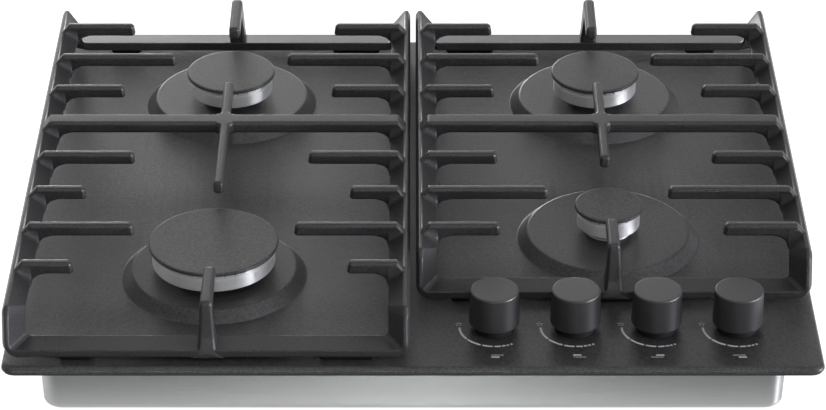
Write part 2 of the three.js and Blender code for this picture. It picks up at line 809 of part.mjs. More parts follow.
// Plug with a slot down its middle that the spindle slides in
function tapPlug() {
  const { radius, height, bevel } = plug;
  const slot = spindle.radius + RUN_GAP;
  return turned([
    [0, plugFoot],
    [radius - bevel, plugFoot],
    [radius, plugFoot + bevel],
    [radius, plugFoot + height],
    [slot, plugFoot + height],
    [slot, plugFoot + plug.floor],
    [0, plugFoot + plug.floor],
  ]);
}

const plugFoot = tap.bottom + tap.cover + RUN_GAP;
const spindleFoot = plugFoot + plug.floor + PRESS + spindle.spare;
const spindleTop = plateTop + KNOB.clear + spindle.into;
const railY = knobY + gasRail.back;
const tapFace = knobY + tap.length / 2; // back face of a tap's block
const outletFace = tapFace + tube.outlet; // end of the stub each pipe starts at
const outletZ = tap.bottom + tap.height - tube.outlet;
const feedZ = platformTop - cup.depth + cup.jetAbove;

const lyingRod = (radius, from, to, y, z) => {
  const geometry = new THREE.CylinderGeometry(radius, radius, to - from, FACETS.small);
  geometry.rotateZ(Math.PI / 2);
  geometry.translate((from + to) / 2, y, z);
  return geometry;
};
const deepRod = (radius, from, to, x, z) => {
  const geometry = new THREE.CylinderGeometry(radius, radius, to - from, FACETS.small);
  geometry.translate(x, (from + to) / 2, z);
  return geometry;
};

// Gas rail along the backs of the taps, with a flat pad for each of them,
// two posts to the tray's floor, and a branch back to the inlet
function gasManifold() {
  const { radius, wall, z, past } = gasRail;
  const first = knobX(0) - past;
  const branchEnd = elbow.y - elbow.stub - RUN_GAP;
  const corner = new THREE.SphereGeometry(radius, FACETS.small, FACETS.thin);
  corner.translate(elbow.x, railY, z);
  const padDepth = railY - tapFace;
  const padMiddle = (railY + tapFace) / 2;
  const { pad } = gasRail;
  const pads = burners.map((_, i) => block(pad, padDepth, pad / 2, knobX(i), padMiddle, z - pad / 4));
  const posts = [0, 2].map((i) => (
    block(railPost.width, railPost.depth, z - tray.wall, knobX(i) + KNOB.pitch / 2, railY, tray.wall)
  ));
  const outside = [
    lyingRod(radius, first, elbow.x, railY, z),
    corner,
    deepRod(radius, railY, branchEnd, elbow.x, z),
    ...pads,
    ...posts,
  ];
  const bore = radius - wall;
  const ports = burners.map((_, i) => deepRod(tap.port, tapFace - 1, railY, knobX(i), z));
  return cutAll(joinAll(outside), [
    lyingRod(bore, first + wall, elbow.x, railY, z),
    deepRod(bore, railY - bore / 2, branchEnd + 1, elbow.x, z),
    ...ports,
  ]);
}

// Inlet elbow: down through the tray's pocket, with a hexagon nut at its foot
function inletElbow() {
  const { radius, bore, x, y, bottom, stub, flange, flangeHeight } = elbow;
  const { z } = gasRail;
  const pocketTop = pocket.height + tray.wall;
  const body = joinAll([
    rod(radius, bottom, z, x, y),
    rod(inletNut.radius, bottom, bottom + inletNut.height, x, y, FACETS.thin),
    rod(radius + flange, pocketTop, pocketTop + flangeHeight, x, y),
    deepRod(radius, y - stub, y, x, z),
    new THREE.SphereGeometry(radius, FACETS.small, FACETS.thin).translate(x, y, z),
  ]);
  return cutAll(body, [rod(bore, bottom - 1, z, x, y), deepRod(bore, y - stub - 1, y, x, z)]);
}

// A pipe through corner points, with its bends rounded
function bentPipe(points, radius) {
  const path = new THREE.CurvePath();
  let from = points[0];
  for (let i = 1; i + 1 < points.length; i += 1) {
    const towards = (other) => {
      const share = Math.min(0.5, radius / points[i].distanceTo(other));
      return points[i].clone().lerp(other, share);
    };
    const before = towards(points[i - 1]);
    const after = towards(points[i + 1]);
    path.add(new THREE.LineCurve3(from, before));
    path.add(new THREE.QuadraticBezierCurve3(before, points[i], after));
    from = after;
  }
  path.add(new THREE.LineCurve3(from, points.at(-1)));
  const section = new THREE.Shape().absarc(0, 0, tube.radius, 0, 2 * Math.PI);
  const { steps, sides } = tube;
  return new THREE.ExtrudeGeometry(section, { steps, curveSegments: sides / 2, extrudePath: path });
}

// Where each tap's pipe turns on its way to its burner. A lane lies between two taps.
const pipeRun = { out: 24.9, shortOut: 16.9, slant: 38, longSlant: 42, beside: 28, approach: 80 };

function pipeTurns(index) {
  const burner = burners[index];
  const x = knobX(index);
  const laneX = knobX(index - 1) - pipeRun.beside;
  const slantFrom = outletFace + pipeRun.out;
  if (index === 0) return [[x, outletFace + pipeRun.shortOut], [burner.x + pipeRun.approach, burner.y]];
  if (index === 1) return [[x, slantFrom], [laneX, slantFrom + pipeRun.slant], [laneX, burner.y]];
  if (index === 2) return [[x, slantFrom], [laneX, slantFrom + pipeRun.longSlant], [laneX, burner.y]];
  return [[x, burner.y]];
}

function feedPipe(index) {
  const burner = burners[index];
  const side = burner.feedSide === 0 ? 1 : -1;
  const inletX = burner.x + side * (burner.throat + cup.wall + cup.bossLength + RUN_GAP);
  const start = new THREE.Vector3(knobX(index), outletFace + RUN_GAP, outletZ);
  const end = new THREE.Vector3(inletX, burner.y, feedZ);
  const turns = pipeTurns(index).map(([x, y]) => new THREE.Vector3(x, y, outletZ));
  const last = turns.at(-1);
  last.z = feedZ;
  return bentPipe([start, ...turns, end], tube.bend);
}

// Ignition generator: a moulded box on the tray's floor with one terminal per burner
function ignitionGenerator() {
  const { width, depth, height, shoulder, step, x, y } = generator;
  const floor = tray.wall;
  const top = floor + height;
  const box = block(width, depth, height - shoulder, x, y, floor);
  const lid = block(width - 2 * step, depth - 2 * step, height, x, y, floor);
  const ears = block(width + 2 * ear.reach, ear.width, ear.thickness, x, y, floor);
  const posts = [];
  for (let i = 0; i < terminal.count; i += 1) {
    const along = i / (terminal.count - 1) - 0.5;
    const across = x + along * (width - 2 * terminal.inset);
    posts.push(rod(terminal.radius, top - 1, top + terminal.height, across, y, FACETS.thin));
  }
  const holes = [-1, 1].map((side) => {
    const across = x + (side * (width + ear.reach)) / 2;
    return rod(ear.hole, 0, floor + ear.thickness + 1, across, y, FACETS.thin);
  });
  return cutAll(joinAll([box, lid, ears, ...posts]), holes);
}

// ---- Assembly ------------------------------------------------------------

place('top_plate', topPlate(), enamel);
place('base_tray', trayWithPocket(), steel);
place('rim_seal', rimSeal(), rubber);

burners.forEach((burner, i) => {
  place(`burner_cup_${burner.name}`, burnerCup(burner), aluminium, burner.x, burner.y);
  place(`burner_crown_${burner.name}`, burnerCrown(burner), aluminium, burner.x, burner.y);
  place(`burner_cap_${burner.name}`, burnerCap(burner), blackEnamel, burner.x, burner.y);
  const spark = studPlace(burner, electrode);
  const sensor = studPlace(burner, thermocouple);
  place(`spark_electrode_${burner.name}`, sparkElectrode(), ceramic, spark.x, spark.y);
  place(`flame_sensor_${burner.name}`, flameSensor(), steel, sensor.x, sensor.y);
  place(`feed_pipe_${burner.name}`, feedPipe(i), aluminium);
  place(`knob_${burner.name}`, knob(), blackPlastic, knobX(i), knobY, plateTop);
  place(`knob_seal_${burner.name}`, knobSeal(), rubber, knobX(i), knobY, plateTop);
  place(`spindle_${burner.name}`, rod(spindle.radius, spindleFoot, spindleTop), steel, knobX(i), knobY);
  place(`tap_body_${burner.name}`, tapBody(), brass, knobX(i), knobY);
  place(`tap_plug_${burner.name}`, tapPlug(), brass, knobX(i), knobY);
});

place('gas_manifold', gasManifold(), steel);
place('inlet_elbow', inletElbow(), brass);
place('ignition_generator', ignitionGenerator(), blackPlastic);

// Rows of side fingers, with how far each stops short of the burner's middle
const backRows = (y) => [
  { y: y + ROW_PITCH, reach: REACH.far },
  { y, reach: REACH.near },
  { y: y - ROW_PITCH, reach: REACH.far },
];
const [frontLeft, backLeft, backRight, frontRight] = burners;
const leftRows = [
  ...backRows(backLeft.y),
  { y: -20, reach: REACH.between },
  { y: frontLeft.y + ROW_PITCH, reach: REACH.outer },
  { y: frontLeft.y, reach: REACH.wide },
  { y: frontLeft.y - ROW_PITCH, reach: REACH.outer },
];
const rightRows = [...backRows(backRight.y), ...backRows(frontRight.y)];
const centreTips = (back, front, frontReach) => [
  back.y + REACH.near,
  back.y - REACH.near,
  front.y + frontReach,
  front.y - frontReach,
];
panSupport(-1, GRATE_FRONTS.left, leftRows, centreTips(backLeft, frontLeft, REACH.wide));
panSupport(1, GRATE_FRONTS.right, rightRows, centreTips(backRight, frontRight, REACH.near));
supportFeet(-1, GRATE_FRONTS.left);
supportFeet(1, GRATE_FRONTS.right);

export default cooktop;
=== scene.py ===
# %% [markdown]
# # A built-in gas cooktop
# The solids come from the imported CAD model, in metres, with X to the right, Y to the back and Z up.
# This file dresses them: finer meshes stand in for the pieces that show, and every piece gets a
# finish worked out by nodes. Sizes below are in millimetres, as on a maker's drawing.

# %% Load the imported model
import math

import bmesh
import bpy
import numpy as np
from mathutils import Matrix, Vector
from mathutils.geometry import delaunay_2d_cdt


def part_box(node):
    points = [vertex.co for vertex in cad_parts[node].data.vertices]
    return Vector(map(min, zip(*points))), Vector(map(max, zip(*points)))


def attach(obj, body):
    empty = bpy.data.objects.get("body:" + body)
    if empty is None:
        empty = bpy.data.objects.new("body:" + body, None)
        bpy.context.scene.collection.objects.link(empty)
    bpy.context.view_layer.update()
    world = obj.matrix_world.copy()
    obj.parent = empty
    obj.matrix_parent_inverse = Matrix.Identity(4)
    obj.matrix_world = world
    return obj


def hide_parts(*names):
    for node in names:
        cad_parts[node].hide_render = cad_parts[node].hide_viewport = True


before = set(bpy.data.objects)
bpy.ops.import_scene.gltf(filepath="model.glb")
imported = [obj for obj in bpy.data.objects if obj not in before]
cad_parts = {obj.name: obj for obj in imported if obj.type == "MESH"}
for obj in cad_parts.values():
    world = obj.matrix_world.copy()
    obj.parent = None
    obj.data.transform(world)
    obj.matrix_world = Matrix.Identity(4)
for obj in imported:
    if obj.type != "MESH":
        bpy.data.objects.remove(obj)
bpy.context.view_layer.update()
scene = bpy.context.scene

# %% [markdown]
# ## The camera
# A product picture like this is taken from far off with a long lens, a little above the object, so
# that its sides hardly converge. The camera below stands 2.6 m away and looks down by 30 degrees.
# Its focal length is given in pixels of a picture 826 pixels wide.

# %% Camera
SENSOR = 36.0
PICTURE_WIDTH, FOCAL_LENGTH = 826, 3238
DOWNWARD_TILT = 30.13
camera = bpy.data.objects.new("camera", bpy.data.cameras.new("camera"))
scene.collection.objects.link(camera)
scene.camera = camera
camera.location = (0, -2.232, 1.330)
camera.rotation_euler = (math.radians(90 - DOWNWARD_TILT), 0, 0)
camera.data.sensor_width = SENSOR
camera.data.lens = SENSOR * FOCAL_LENGTH / PICTURE_WIDTH
camera.data.clip_end = 100
print("lens:", round(camera.data.lens, 1), "mm")

# %% [markdown]
# ## Measuring the solids
# The new meshes have to sit exactly where the solids are. So their places are read from the boxes
# of the solids, and only shapes that a box can't tell, such as a bevel, are typed in.

# %% Places read from the solids
MM = 0.001
BURNERS = ["front_left", "back_left", "back_right", "front_right"]


def box_of(node):
    """Lowest and highest corner of a solid, as two arrays in millimetres."""
    low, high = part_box(node)
    return np.array(low) / MM, np.array(high) / MM


def middle_of(node):
    """The centre of a solid's box seen from above, in millimetres."""
    low, high = box_of(node)
    return (low[:2] + high[:2]) / 2


plate_low, plate_high = box_of("top_plate")
PLATFORM_HEIGHT = 8
PLATE_TOP = plate_high[2] - PLATFORM_HEIGHT
PLATFORM_TOP = plate_high[2]
print("plate top at", round(PLATE_TOP, 2), "mm, platforms at", round(PLATFORM_TOP, 2), "mm")

# %% [markdown]
# ## Making meshes from formulas
# Every new surface is a grid of points: one direction runs round a section, the other along a path.
# A few helpers are enough. One numbers the faces of a grid, one rounds the corners of a line of
# points, one gives the points of a turned piece, and one makes the object. Two more join closed
# meshes and give an open sheet its thickness.

# %% Helpers for grids of points
def grid_faces(rows, columns, loop_rows=False, loop_columns=True, first=0):
    """Four-cornered faces between neighbours on a grid whose points are numbered row by row."""
    r, c = np.meshgrid(np.arange(rows if loop_rows else rows - 1),
                       np.arange(columns if loop_columns else columns - 1), indexing="ij")
    r2, c2 = (r + 1) % rows, (c + 1) % columns
    corners = [r * columns + c, r * columns + c2, r2 * columns + c2, r2 * columns + c]
    return (np.stack(corners, -1).reshape(-1, 4) + first).tolist()


def eased(points, trim, steps=3, closed=True):
    """Rounds the corners of a line of points, shape (..., n, k), along its second-last axis.
    Corner P with legs a and b, each trim long at most and never over 45% of its side, turns into
    the curve P + (1 - u)^2 a + u^2 b for u from 0 to 1."""
    points = np.asarray(points, float)
    before = np.roll(points, 1, axis=-2) - points
    after = np.roll(points, -1, axis=-2) - points
    if not closed:
        before[..., 0, :] = 0
        after[..., -1, :] = 0

    def leg(side):
        length = np.linalg.norm(side, axis=-1, keepdims=True)
        return side * np.minimum(trim / np.maximum(length, 1e-9), 0.45)

    u = np.linspace(0, 1, steps)[:, None]
    start, end = leg(before)[..., None, :], leg(after)[..., None, :]
    curve = points[..., None, :] + (1 - u) ** 2 * start + u ** 2 * end
    return curve.reshape(*points.shape[:-2], -1, points.shape[-1])


def ring(half_x, half_y, radius, z, steps=10):
    """Points round a rectangle with round corners: each corner's centre plus radius times a direction."""
    angle = np.concatenate([np.linspace(q, q + 90, steps) for q in (0, 90, 180, 270)])
    sign_x = np.repeat([1, -1, -1, 1], steps)
    sign_y = np.repeat([1, 1, -1, -1], steps)
    x = sign_x * (half_x - radius) + radius * np.cos(np.radians(angle))
    y = sign_y * (half_y - radius) + radius * np.sin(np.radians(angle))
    return np.stack([x, y, np.full_like(x, z)], -1)


# %% Helpers that make pieces
def clean(mesh, outward=True):
    """Merges points that coincide, drops faces with no area, and turns closed shells outwards."""
    work = bmesh.new()
    work.from_mesh(mesh)
    bmesh.ops.remove_doubles(work, verts=work.verts, dist=1e-6)
    bmesh.ops.dissolve_degenerate(work, edges=work.edges, dist=1e-7)
    if outward:
        bmesh.ops.recalc_face_normals(work, faces=work.faces)
    work.to_mesh(mesh)
    work.free()
    mesh.shade_smooth()


def shape(name, points, faces):
    """An object from points in millimetres and a list of faces."""
    mesh = bpy.data.meshes.new(name)
    mesh.from_pydata((np.asarray(points, float).reshape(-1, 3) * MM).tolist(), [], faces)
    clean(mesh)
    made = bpy.data.objects.new(name, mesh)
    scene.collection.objects.link(made)
    return made


def settle(made, finish, body, stands_for=()):
    """Gives a piece its finish, keeps its flat faces flat, and lets it ride on its body."""
    made.data.materials.clear()
    made.data.materials.append(finish.material)
    even = made.modifiers.new("flat faces", "WEIGHTED_NORMAL")
    even.mode = "FACE_AREA"
    even.weight = 80
    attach(made, body)
    if stands_for:
        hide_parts(*stands_for)
    print(f"{made.name}: {len(made.data.polygons)} faces")
    return made


def turned_points(outline, steps, centre=(0, 0)):
    """Point (r, z) of the outline, turned by angle t, goes to (r cos t, r sin t, z)."""
    outline = np.asarray(outline, float)
    angle = np.linspace(0, 2 * np.pi, steps, endpoint=False)
    r, z = outline[:, :1], outline[:, 1:]
    return np.stack([centre[0] + r * np.cos(angle), centre[1] + r * np.sin(angle), z + 0 * angle], -1)


def turned(name, outline, steps=96, centre=(0, 0), closed=False):
    """A turned piece. An outline that starts and ends on the axis closes there by itself."""
    points = turned_points(outline, steps, centre)
    return shape(name, points, grid_faces(len(outline), steps, loop_rows=closed))


def united(name, solids):
    """One closed mesh from closed ones that overlap, each joined to the last in turn."""
    whole = solids[0]
    for other in solids[1:]:
        join = whole.modifiers.new("join", "BOOLEAN")
        join.operation = "UNION"
        join.solver = "MANIFOLD"
        join.object = other
        whole.data = bpy.data.meshes.new_from_object(
            whole.evaluated_get(bpy.context.evaluated_depsgraph_get()))
        whole.modifiers.clear()
        bpy.data.objects.remove(other)
    whole.name = name
    whole.data.name = name
    clean(whole.data, outward=False)
    return whole


def walled(made, thickness):
    """Gives an open sheet its thickness, on the side away from its normals."""
    wall = made.modifiers.new("sheet", "SOLIDIFY")
    wall.thickness = thickness * MM
    wall.offset = -1
    wall.use_even_offset = True


# %% [markdown]
# A flat area with round holes can't be a grid. It is cut into triangles between its outer loop and
# the loops of its holes. Blender's own routine does that, and fills the holes too, so the
# triangles whose middle lies within a hole are dropped. A hole is given as a loop of points, a
# centre and a radius, and the radius is a little smaller than the loop's.

# %% Flat areas with holes
def flat_between(outer, holes, z):
    """Points and triangles inside the outer loop and outside the holes, all at height z."""
    loops = [outer] + [loop for loop, _, _ in holes]
    edges, start = [], 0
    for loop in loops:
        n = np.arange(len(loop))
        edges += np.stack([start + n, start + (n + 1) % len(loop)], -1).tolist()
        start += len(loop)
    corners = [Vector(point[:2]) for point in np.concatenate(loops)]
    found, _, triangles, *_ = delaunay_2d_cdt(corners, edges, [], 1, 1e-7)
    found = np.array([tuple(point) for point in found])
    triangles = np.array(triangles)
    middles = found[triangles].mean(1)
    keep = np.ones(len(triangles), bool)
    for _, centre, radius in holes:
        keep &= np.linalg.norm(middles - centre, axis=1) > radius
    return np.column_stack([found, np.full(len(found), z)]), triangles[keep]


def skin(name, grids, outer, holes, z):
    """One open sheet from grids of rings and the flat area between them."""
    points, faces, count = [], [], 0
    for grid in grids:
        points.append(grid.reshape(-1, 3))
        faces += grid_faces(*grid.shape[:2], first=count)
        count += len(points[-1])
    flat, triangles = flat_between(outer, holes, z)
    points.append(flat)
    faces += (triangles + count).tolist()
    return shape(name, np.concatenate(points), faces)


def face_flat_part(made, upwards):
    """Turns a sheet over if its largest face looks the wrong way."""
    largest = max(made.data.polygons, key=lambda face: face.area)
    if (largest.normal.z > 0) != upwards:
        made.data.flip_normals()


# %% [markdown]
# ## Finishes as sums
# A finish is worked out by nodes. Wiring dozens of Math nodes by hand is hard to read, so a small
# class wraps a socket and overloads plus, minus and times. A sum in Python then adds the nodes.

# %% A finish and its sums
class Value:
    """A number that changes from place to place, and that can be used in sums."""

    def __init__(self, wiring, socket):
        self.wiring, self.socket = wiring, socket

    def maths(self, operation, *terms):
        return self.wiring.node("ShaderNodeMath", {"operation": operation}, dict(enumerate(terms)))

    def __add__(self, other):
        return self.maths("ADD", self, other)

    def __sub__(self, other):
        return self.maths("SUBTRACT", self, other)

    def __rsub__(self, other):
        return self.maths("SUBTRACT", other, self)

    def __mul__(self, other):
        return self.maths("MULTIPLY", self, other)

    __radd__ = __add__
    __rmul__ = __mul__

    def above(self, low, high):
        """0 under low, 1 over high, and a straight line between them."""
        settings = {"clamp": True}
        limits = {0: self, 1: low, 2: high, 3: 0.0, 4: 1.0}
        return self.wiring.node("ShaderNodeMapRange", settings, limits)


class Wiring:
    """A node tree, and one method that adds any node to it."""

    def __init__(self, tree):
        self.tree = tree

    def wire(self, socket, value):
        if isinstance(value, Value):
            self.tree.links.new(value.socket, socket)
        else:
            socket.default_value = value

    def node(self, kind, settings, inputs, output=0):
        made = self.tree.nodes.new(kind)
        for key, value in settings.items():
            setattr(made, key, value)
        for key, value in inputs.items():
            self.wire(made.inputs[key], value)
        return Value(self, made.outputs[output])


class Finish(Wiring):
    """A material with its shader, and the patterns that a finish is made of."""

    def __init__(self, name, colour, roughness, metallic=0.0, **constants):
        self.material = bpy.data.materials.new(name)
        self.material.use_nodes = True
        super().__init__(self.material.node_tree)
        self.shader = next(n for n in self.tree.nodes if n.type == "BSDF_PRINCIPLED")
        self.set("Base Color", (*colour, 1))
        self.set("Roughness", roughness)
        self.set("Metallic", metallic)
        for socket, value in constants.items():
            self.set(socket, value)
        self.place = self.node("ShaderNodeTexCoord", {}, {}, "Object")

    def set(self, socket, value):
        self.wire(self.shader.inputs[socket], value)

    def noise(self, grain, detail=2.0, stretch=None):
        """Noise from 0 to 1 with lumps about grain millimetres wide, longer along stretched axes."""
        place = self.place
        if stretch:
            place = self.node("ShaderNodeMapping", {}, {0: self.place, 3: stretch})
        size = {"Vector": place, "Scale": 1 / (grain * MM), "Detail": detail}
        return self.node("ShaderNodeTexNoise", {}, size, 0)

    def bump(self, height, depth):
        """Lets a height from 0 to 1 tilt the surface as if it were depth millimetres deep."""
        relief = {"Strength": 1.0, "Distance": depth * MM, "Height": height}
        self.set("Normal", self.node("ShaderNodeBump", {}, relief))

    def blend(self, share, low, high):
        """A colour between two, by share."""
        made = self.tree.nodes.new("ShaderNodeMix")
        made.data_type = "RGBA"
        self.wire(made.inputs[0], share)
        self.wire(made.inputs[6], (*low, 1))
        self.wire(made.inputs[7], (*high, 1))
        return Value(self, made.outputs[2])


# %% [markdown]
# ## Vitreous enamel and cast iron
# The plate, the caps and the pan supports are all coated with black glass. On the plate it is
# satin, with a grain like eggshell. On the castings the grain is finer and shallower. The grain
# is a bump from fine noise, and both a fine and a broad noise move the roughness a little, as
# fired enamel does.

# %% Enamel finishes
ENAMEL_BLUE = 1.03
SPECK_DARK, SPECK_LIGHT = 0.5, 1.5
FIRING_MARKS = 40


def enamel(name, grey, roughness, grain, depth, gloss):
    """Specks lie between a dark and a light share of the grey. Grain and depth are in millimetres."""
    made = Finish(name, (grey, grey, grey * ENAMEL_BLUE), roughness, **{"Specular IOR Level": gloss})
    fine = made.noise(grain, 3)
    broad = made.noise(FIRING_MARKS, 2)
    speck = made.noise(grain * 1.2, 1).above(0.3, 0.7)
    low, high = grey * SPECK_DARK, grey * SPECK_LIGHT
    dark, light = (low, low, low * ENAMEL_BLUE), (high, high, high * ENAMEL_BLUE)
    made.set("Base Color", made.blend(speck, dark, light))
    made.set("Roughness", roughness + (fine - 0.5) * 0.14 + (broad - 0.5) * 0.06)
    made.bump(fine, depth)
    print(name, "grey", grey, "roughness", roughness)
    return made


plate_enamel = enamel("satin_plate_enamel", 0.028, 0.36, grain=1.5, depth=0.12, gloss=0.5)
cap_enamel = enamel("satin_cap_enamel", 0.033, 0.34, grain=1.3, depth=0.09, gloss=0.38)
cast_enamel = enamel("cast_iron_enamel", 0.0235, 0.36, grain=1.0, depth=0.05, gloss=0.37)

# %% [markdown]
# ## Metals
# The tray is brushed along its length, so each bright spot is drawn out upwards. The flame rings
# are turned on a lathe, which leaves fine grooves round them, and then blasted, which dulls them.
# Both have some anisotropy, turned by a quarter because the scratches run across, and a stretched
# noise makes single scratches. The dulled rings mirror less, so they are only partly metal.

# %% Metal finishes
QUARTER_TURN = 0.25
CLOUDS = 60


def brushed(name, colour, roughness, scratch, depth, drawn_out=0.0, streaks=0.12, metallic=1.0):
    """Scratch gives the noise's scale along x, y and z: a small one is a long scratch."""
    across_scratches = {"Anisotropic": drawn_out, "Anisotropic Rotation": QUARTER_TURN}
    made = Finish(name, colour, roughness, metallic, **across_scratches)
    lines = made.noise(1.0, 3, scratch)
    clouds = made.noise(CLOUDS, 2)
    made.set("Roughness", roughness + (lines - 0.5) * streaks + (clouds - 0.5) * 0.04)
    low = tuple(0.93 * c for c in colour)
    high = tuple(min(1.0, 1.05 * c) for c in colour)
    made.set("Base Color", made.blend(lines.above(0.3, 0.7), low, high))
    made.bump(lines, depth)
    print(name, "metallic", metallic, "roughness", roughness)
    return made


ALONG_X, ROUND_Z = (0.02, 0.02, 3.0), (0.25, 0.25, 5.0)
tray_steel = brushed("brushed_tray_steel", (0.385, 0.398, 0.391), 0.26, ALONG_X, 0.004,
                     drawn_out=1.0, streaks=0.03)
ring_aluminium = brushed("turned_aluminium", (0.54, 0.545, 0.54), 0.45, ROUND_Z, 0.01,
                         drawn_out=0.95, streaks=0.08, metallic=0.6)
pipe_aluminium = brushed("drawn_pipe_aluminium", (0.72, 0.72, 0.72), 0.38, (0.5, 0.5, 0.5), 0.01)
rod_steel = brushed("plain_rod_steel", (0.55, 0.55, 0.54), 0.32, (1.0, 1.0, 0.1), 0.01)
zinc_steel = brushed("zinc_plated_steel", (0.62, 0.64, 0.66), 0.42, (0.7, 0.7, 0.7), 0.02)
tap_brass = brushed("machined_brass", (0.75, 0.56, 0.27), 0.34, (0.3, 0.3, 2.0), 0.02)

# %% [markdown]
# ## Plastics, rubber, ceramic and paint
# The knobs are moulded in black plastic with a fine spark-eroded texture. The feet, the collars
# and the seal are matt rubber. The spark plugs are glazed ceramic, and the marks are one coat of
# grey screen print.

# %% Moulded finishes
def moulded(name, colour, roughness, grain, depth, gloss=0.5):
    """A plain colour with broad clouds in it, and a fine texture. Grain and depth are millimetres."""
    made = Finish(name, colour, roughness, **{"Specular IOR Level": gloss})
    fine = made.noise(grain, 2)
    low = tuple(0.9 * c for c in colour)
    high = tuple(1.12 * c for c in colour)
    made.set("Base Color", made.blend(made.noise(grain * 6, 2), low, high))
    made.set("Roughness", roughness + (fine - 0.5) * 0.12)
    made.bump(fine, depth)
    print(name, "roughness", roughness)
    return made


knob_plastic = moulded("textured_knob_plastic", (0.014, 0.014, 0.015), 0.40, 0.5, 0.03, 0.75)
box_plastic = moulded("moulded_box_plastic", (0.05, 0.05, 0.055), 0.45, 0.6, 0.03)
foot_rubber = moulded("foot_rubber", (0.004, 0.004, 0.004), 0.8, 0.8, 0.05, 0.1)
collar_rubber = moulded("collar_rubber", (0.006, 0.006, 0.006), 0.7, 0.5, 0.03, 0.15)
foam_rubber = moulded("seal_foam", (0.02, 0.02, 0.02), 0.9, 0.9, 0.2)
glazed_ceramic = moulded("glazed_ceramic", (0.80, 0.78, 0.73), 0.25, 1.5, 0.01)
print_grey = moulded("screen_print_grey", (0.42, 0.42, 0.43), 0.6, 0.4, 0.01)

# %% [markdown]
# ## The top plate
# The real plate is one sheet, pressed so that its rim turns down, its lip turns in, and a round
# platform rises under each burner. It is made here as an open skin: rings of points round the rim,
# turned rings for the platforms, and flat triangles between them. A Solidify modifier then gives it
# the sheet's 1.2 mm. Guard rings just outside every bend keep the flat part's shading flat.

# %% The plate's rim and platforms
SHEET = 1.2
RIM_BOTTOM = plate_low[2]
half_plate = (plate_high[:2] - plate_low[:2]) / 2
PLATE_CORNER, LIP_CORNER = 9, 2
EDGE = 3.6
LIP, LIP_BEND = 12, 1
GUARD = 1.5
PLATFORM_FOOT, PLATFORM_RIM, PLATFORM_BEND = 70, 62.3, 1.3
BURNER_HOLE = {"front_left": 21.3, "back_left": 16.3, "back_right": 16.3, "front_right": 11.3}
NECK_HOLE = 6.3
FOOT_MARGIN, NECK_MARGIN = 0.2, 0.1
knob_middles = {burner: middle_of(f"knob_{burner}") for burner in BURNERS}


def plate_rim():
    """Rings from the flat top, over the rounded edge, down the rim and in along the lip.
    The edge's point at angle t is EDGE (1 - sin t) in and EDGE (1 - cos t) down."""
    profile = [(EDGE + GUARD, PLATE_TOP), (EDGE, PLATE_TOP)]
    for angle in np.radians(np.arange(15, 91, 15)):
        profile.append((EDGE * (1 - math.sin(angle)), PLATE_TOP - EDGE * (1 - math.cos(angle))))
    for angle in np.radians(np.arange(0, 91, 30)):
        profile.append((LIP_BEND - math.cos(angle), RIM_BOTTOM + LIP_BEND - math.sin(angle)))
    profile.append((LIP, RIM_BOTTOM))
    return np.array([ring(*(half_plate - inset), max(PLATE_CORNER - 0.5 * inset, LIP_CORNER), z)
                     for inset, z in profile])


def platform_rings(burner, steps=96):
    """Turned rings from the flat, up the platform's slope and in to the burner's hole."""
    outline = [(PLATFORM_FOOT + GUARD, PLATE_TOP), (PLATFORM_FOOT, PLATE_TOP),
               (PLATFORM_RIM, PLATFORM_TOP), (BURNER_HOLE[burner], PLATFORM_TOP)]
    soft = eased(outline, PLATFORM_BEND, 5, closed=False)
    return turned_points(soft, steps, middle_of(f"burner_crown_{burner}"))


# %% The whole plate
def top_plate():
    rim = plate_rim()
    platforms = [platform_rings(burner) for burner in BURNERS]
    holes = [(rings[0], middle_of(f"burner_crown_{burner}"), PLATFORM_FOOT + GUARD - FOOT_MARGIN)
             for burner, rings in zip(BURNERS, platforms)]
    for middle in knob_middles.values():
        neck = turned_points([(NECK_HOLE, PLATE_TOP)], 32, middle)[0]
        holes.append((neck, middle, NECK_HOLE - NECK_MARGIN))
    made = skin("enamelled_top_plate", [rim, *platforms], rim[0], holes, PLATE_TOP)
    face_flat_part(made, upwards=True)
    walled(made, SHEET)
    settle(made, plate_enamel, "chassis", ["top_plate"])


top_plate()

# %% [markdown]
# ## The tray
# The tray is drawn from one stainless sheet: a flange that meets the plate, walls that lean in by
# a few millimetres, a round bend, and a flat floor with a pocket for the gas inlet. It is an open
# skin too, seen from outside, and Solidify adds the sheet on the inner side.

# %% The tray's rings
tray_low, tray_high = box_of("base_tray")
FLANGE = 5
TRAY_WALL = 1
DRAFT = 1.5
TRAY_CORNER = 14
TRAY_BEND = 6
POCKET, POCKET_DEPTH, PIPE_HOLE = 18, 13, 7.8
POCKET_MARGIN = 0.3
INLET_NUT = 11
elbow_low, elbow_high = box_of("inlet_elbow")
nut_flat = INLET_NUT * math.cos(math.pi / 6)
pocket_middle = np.array([(elbow_low[0] + elbow_high[0]) / 2, elbow_high[1] - nut_flat])


def tray_rings():
    """Rings from the flange's edge in to the wall, down it, and round the bend to the floor."""
    half = (tray_high[:2] - tray_low[:2]) / 2 - FLANGE
    shelf = tray_high[2] - TRAY_WALL
    lean = DRAFT * (1 - TRAY_BEND / shelf)
    profile = [(-FLANGE, shelf), (-1.5, shelf), (-0.4, shelf - 0.4), (0, shelf - 1.5)]
    for angle in np.radians(np.arange(0, 91, 10)):
        profile.append((lean + TRAY_BEND * (1 - math.cos(angle)), TRAY_BEND * (1 - math.sin(angle))))
    profile.append((profile[-1][0] + GUARD, 0))
    return np.array([ring(*(half - inset), TRAY_CORNER - inset / 2, z, 16) for inset, z in profile])


def pocket_rings():
    """The pocket for the inlet, as seen from below: up its wall, then in to the pipe's hole."""
    outline = [(POCKET + GUARD, 0), (POCKET, 0), (POCKET, POCKET_DEPTH), (PIPE_HOLE, POCKET_DEPTH)]
    return turned_points(eased(outline, 1.0, 4, closed=False), 48, pocket_middle)


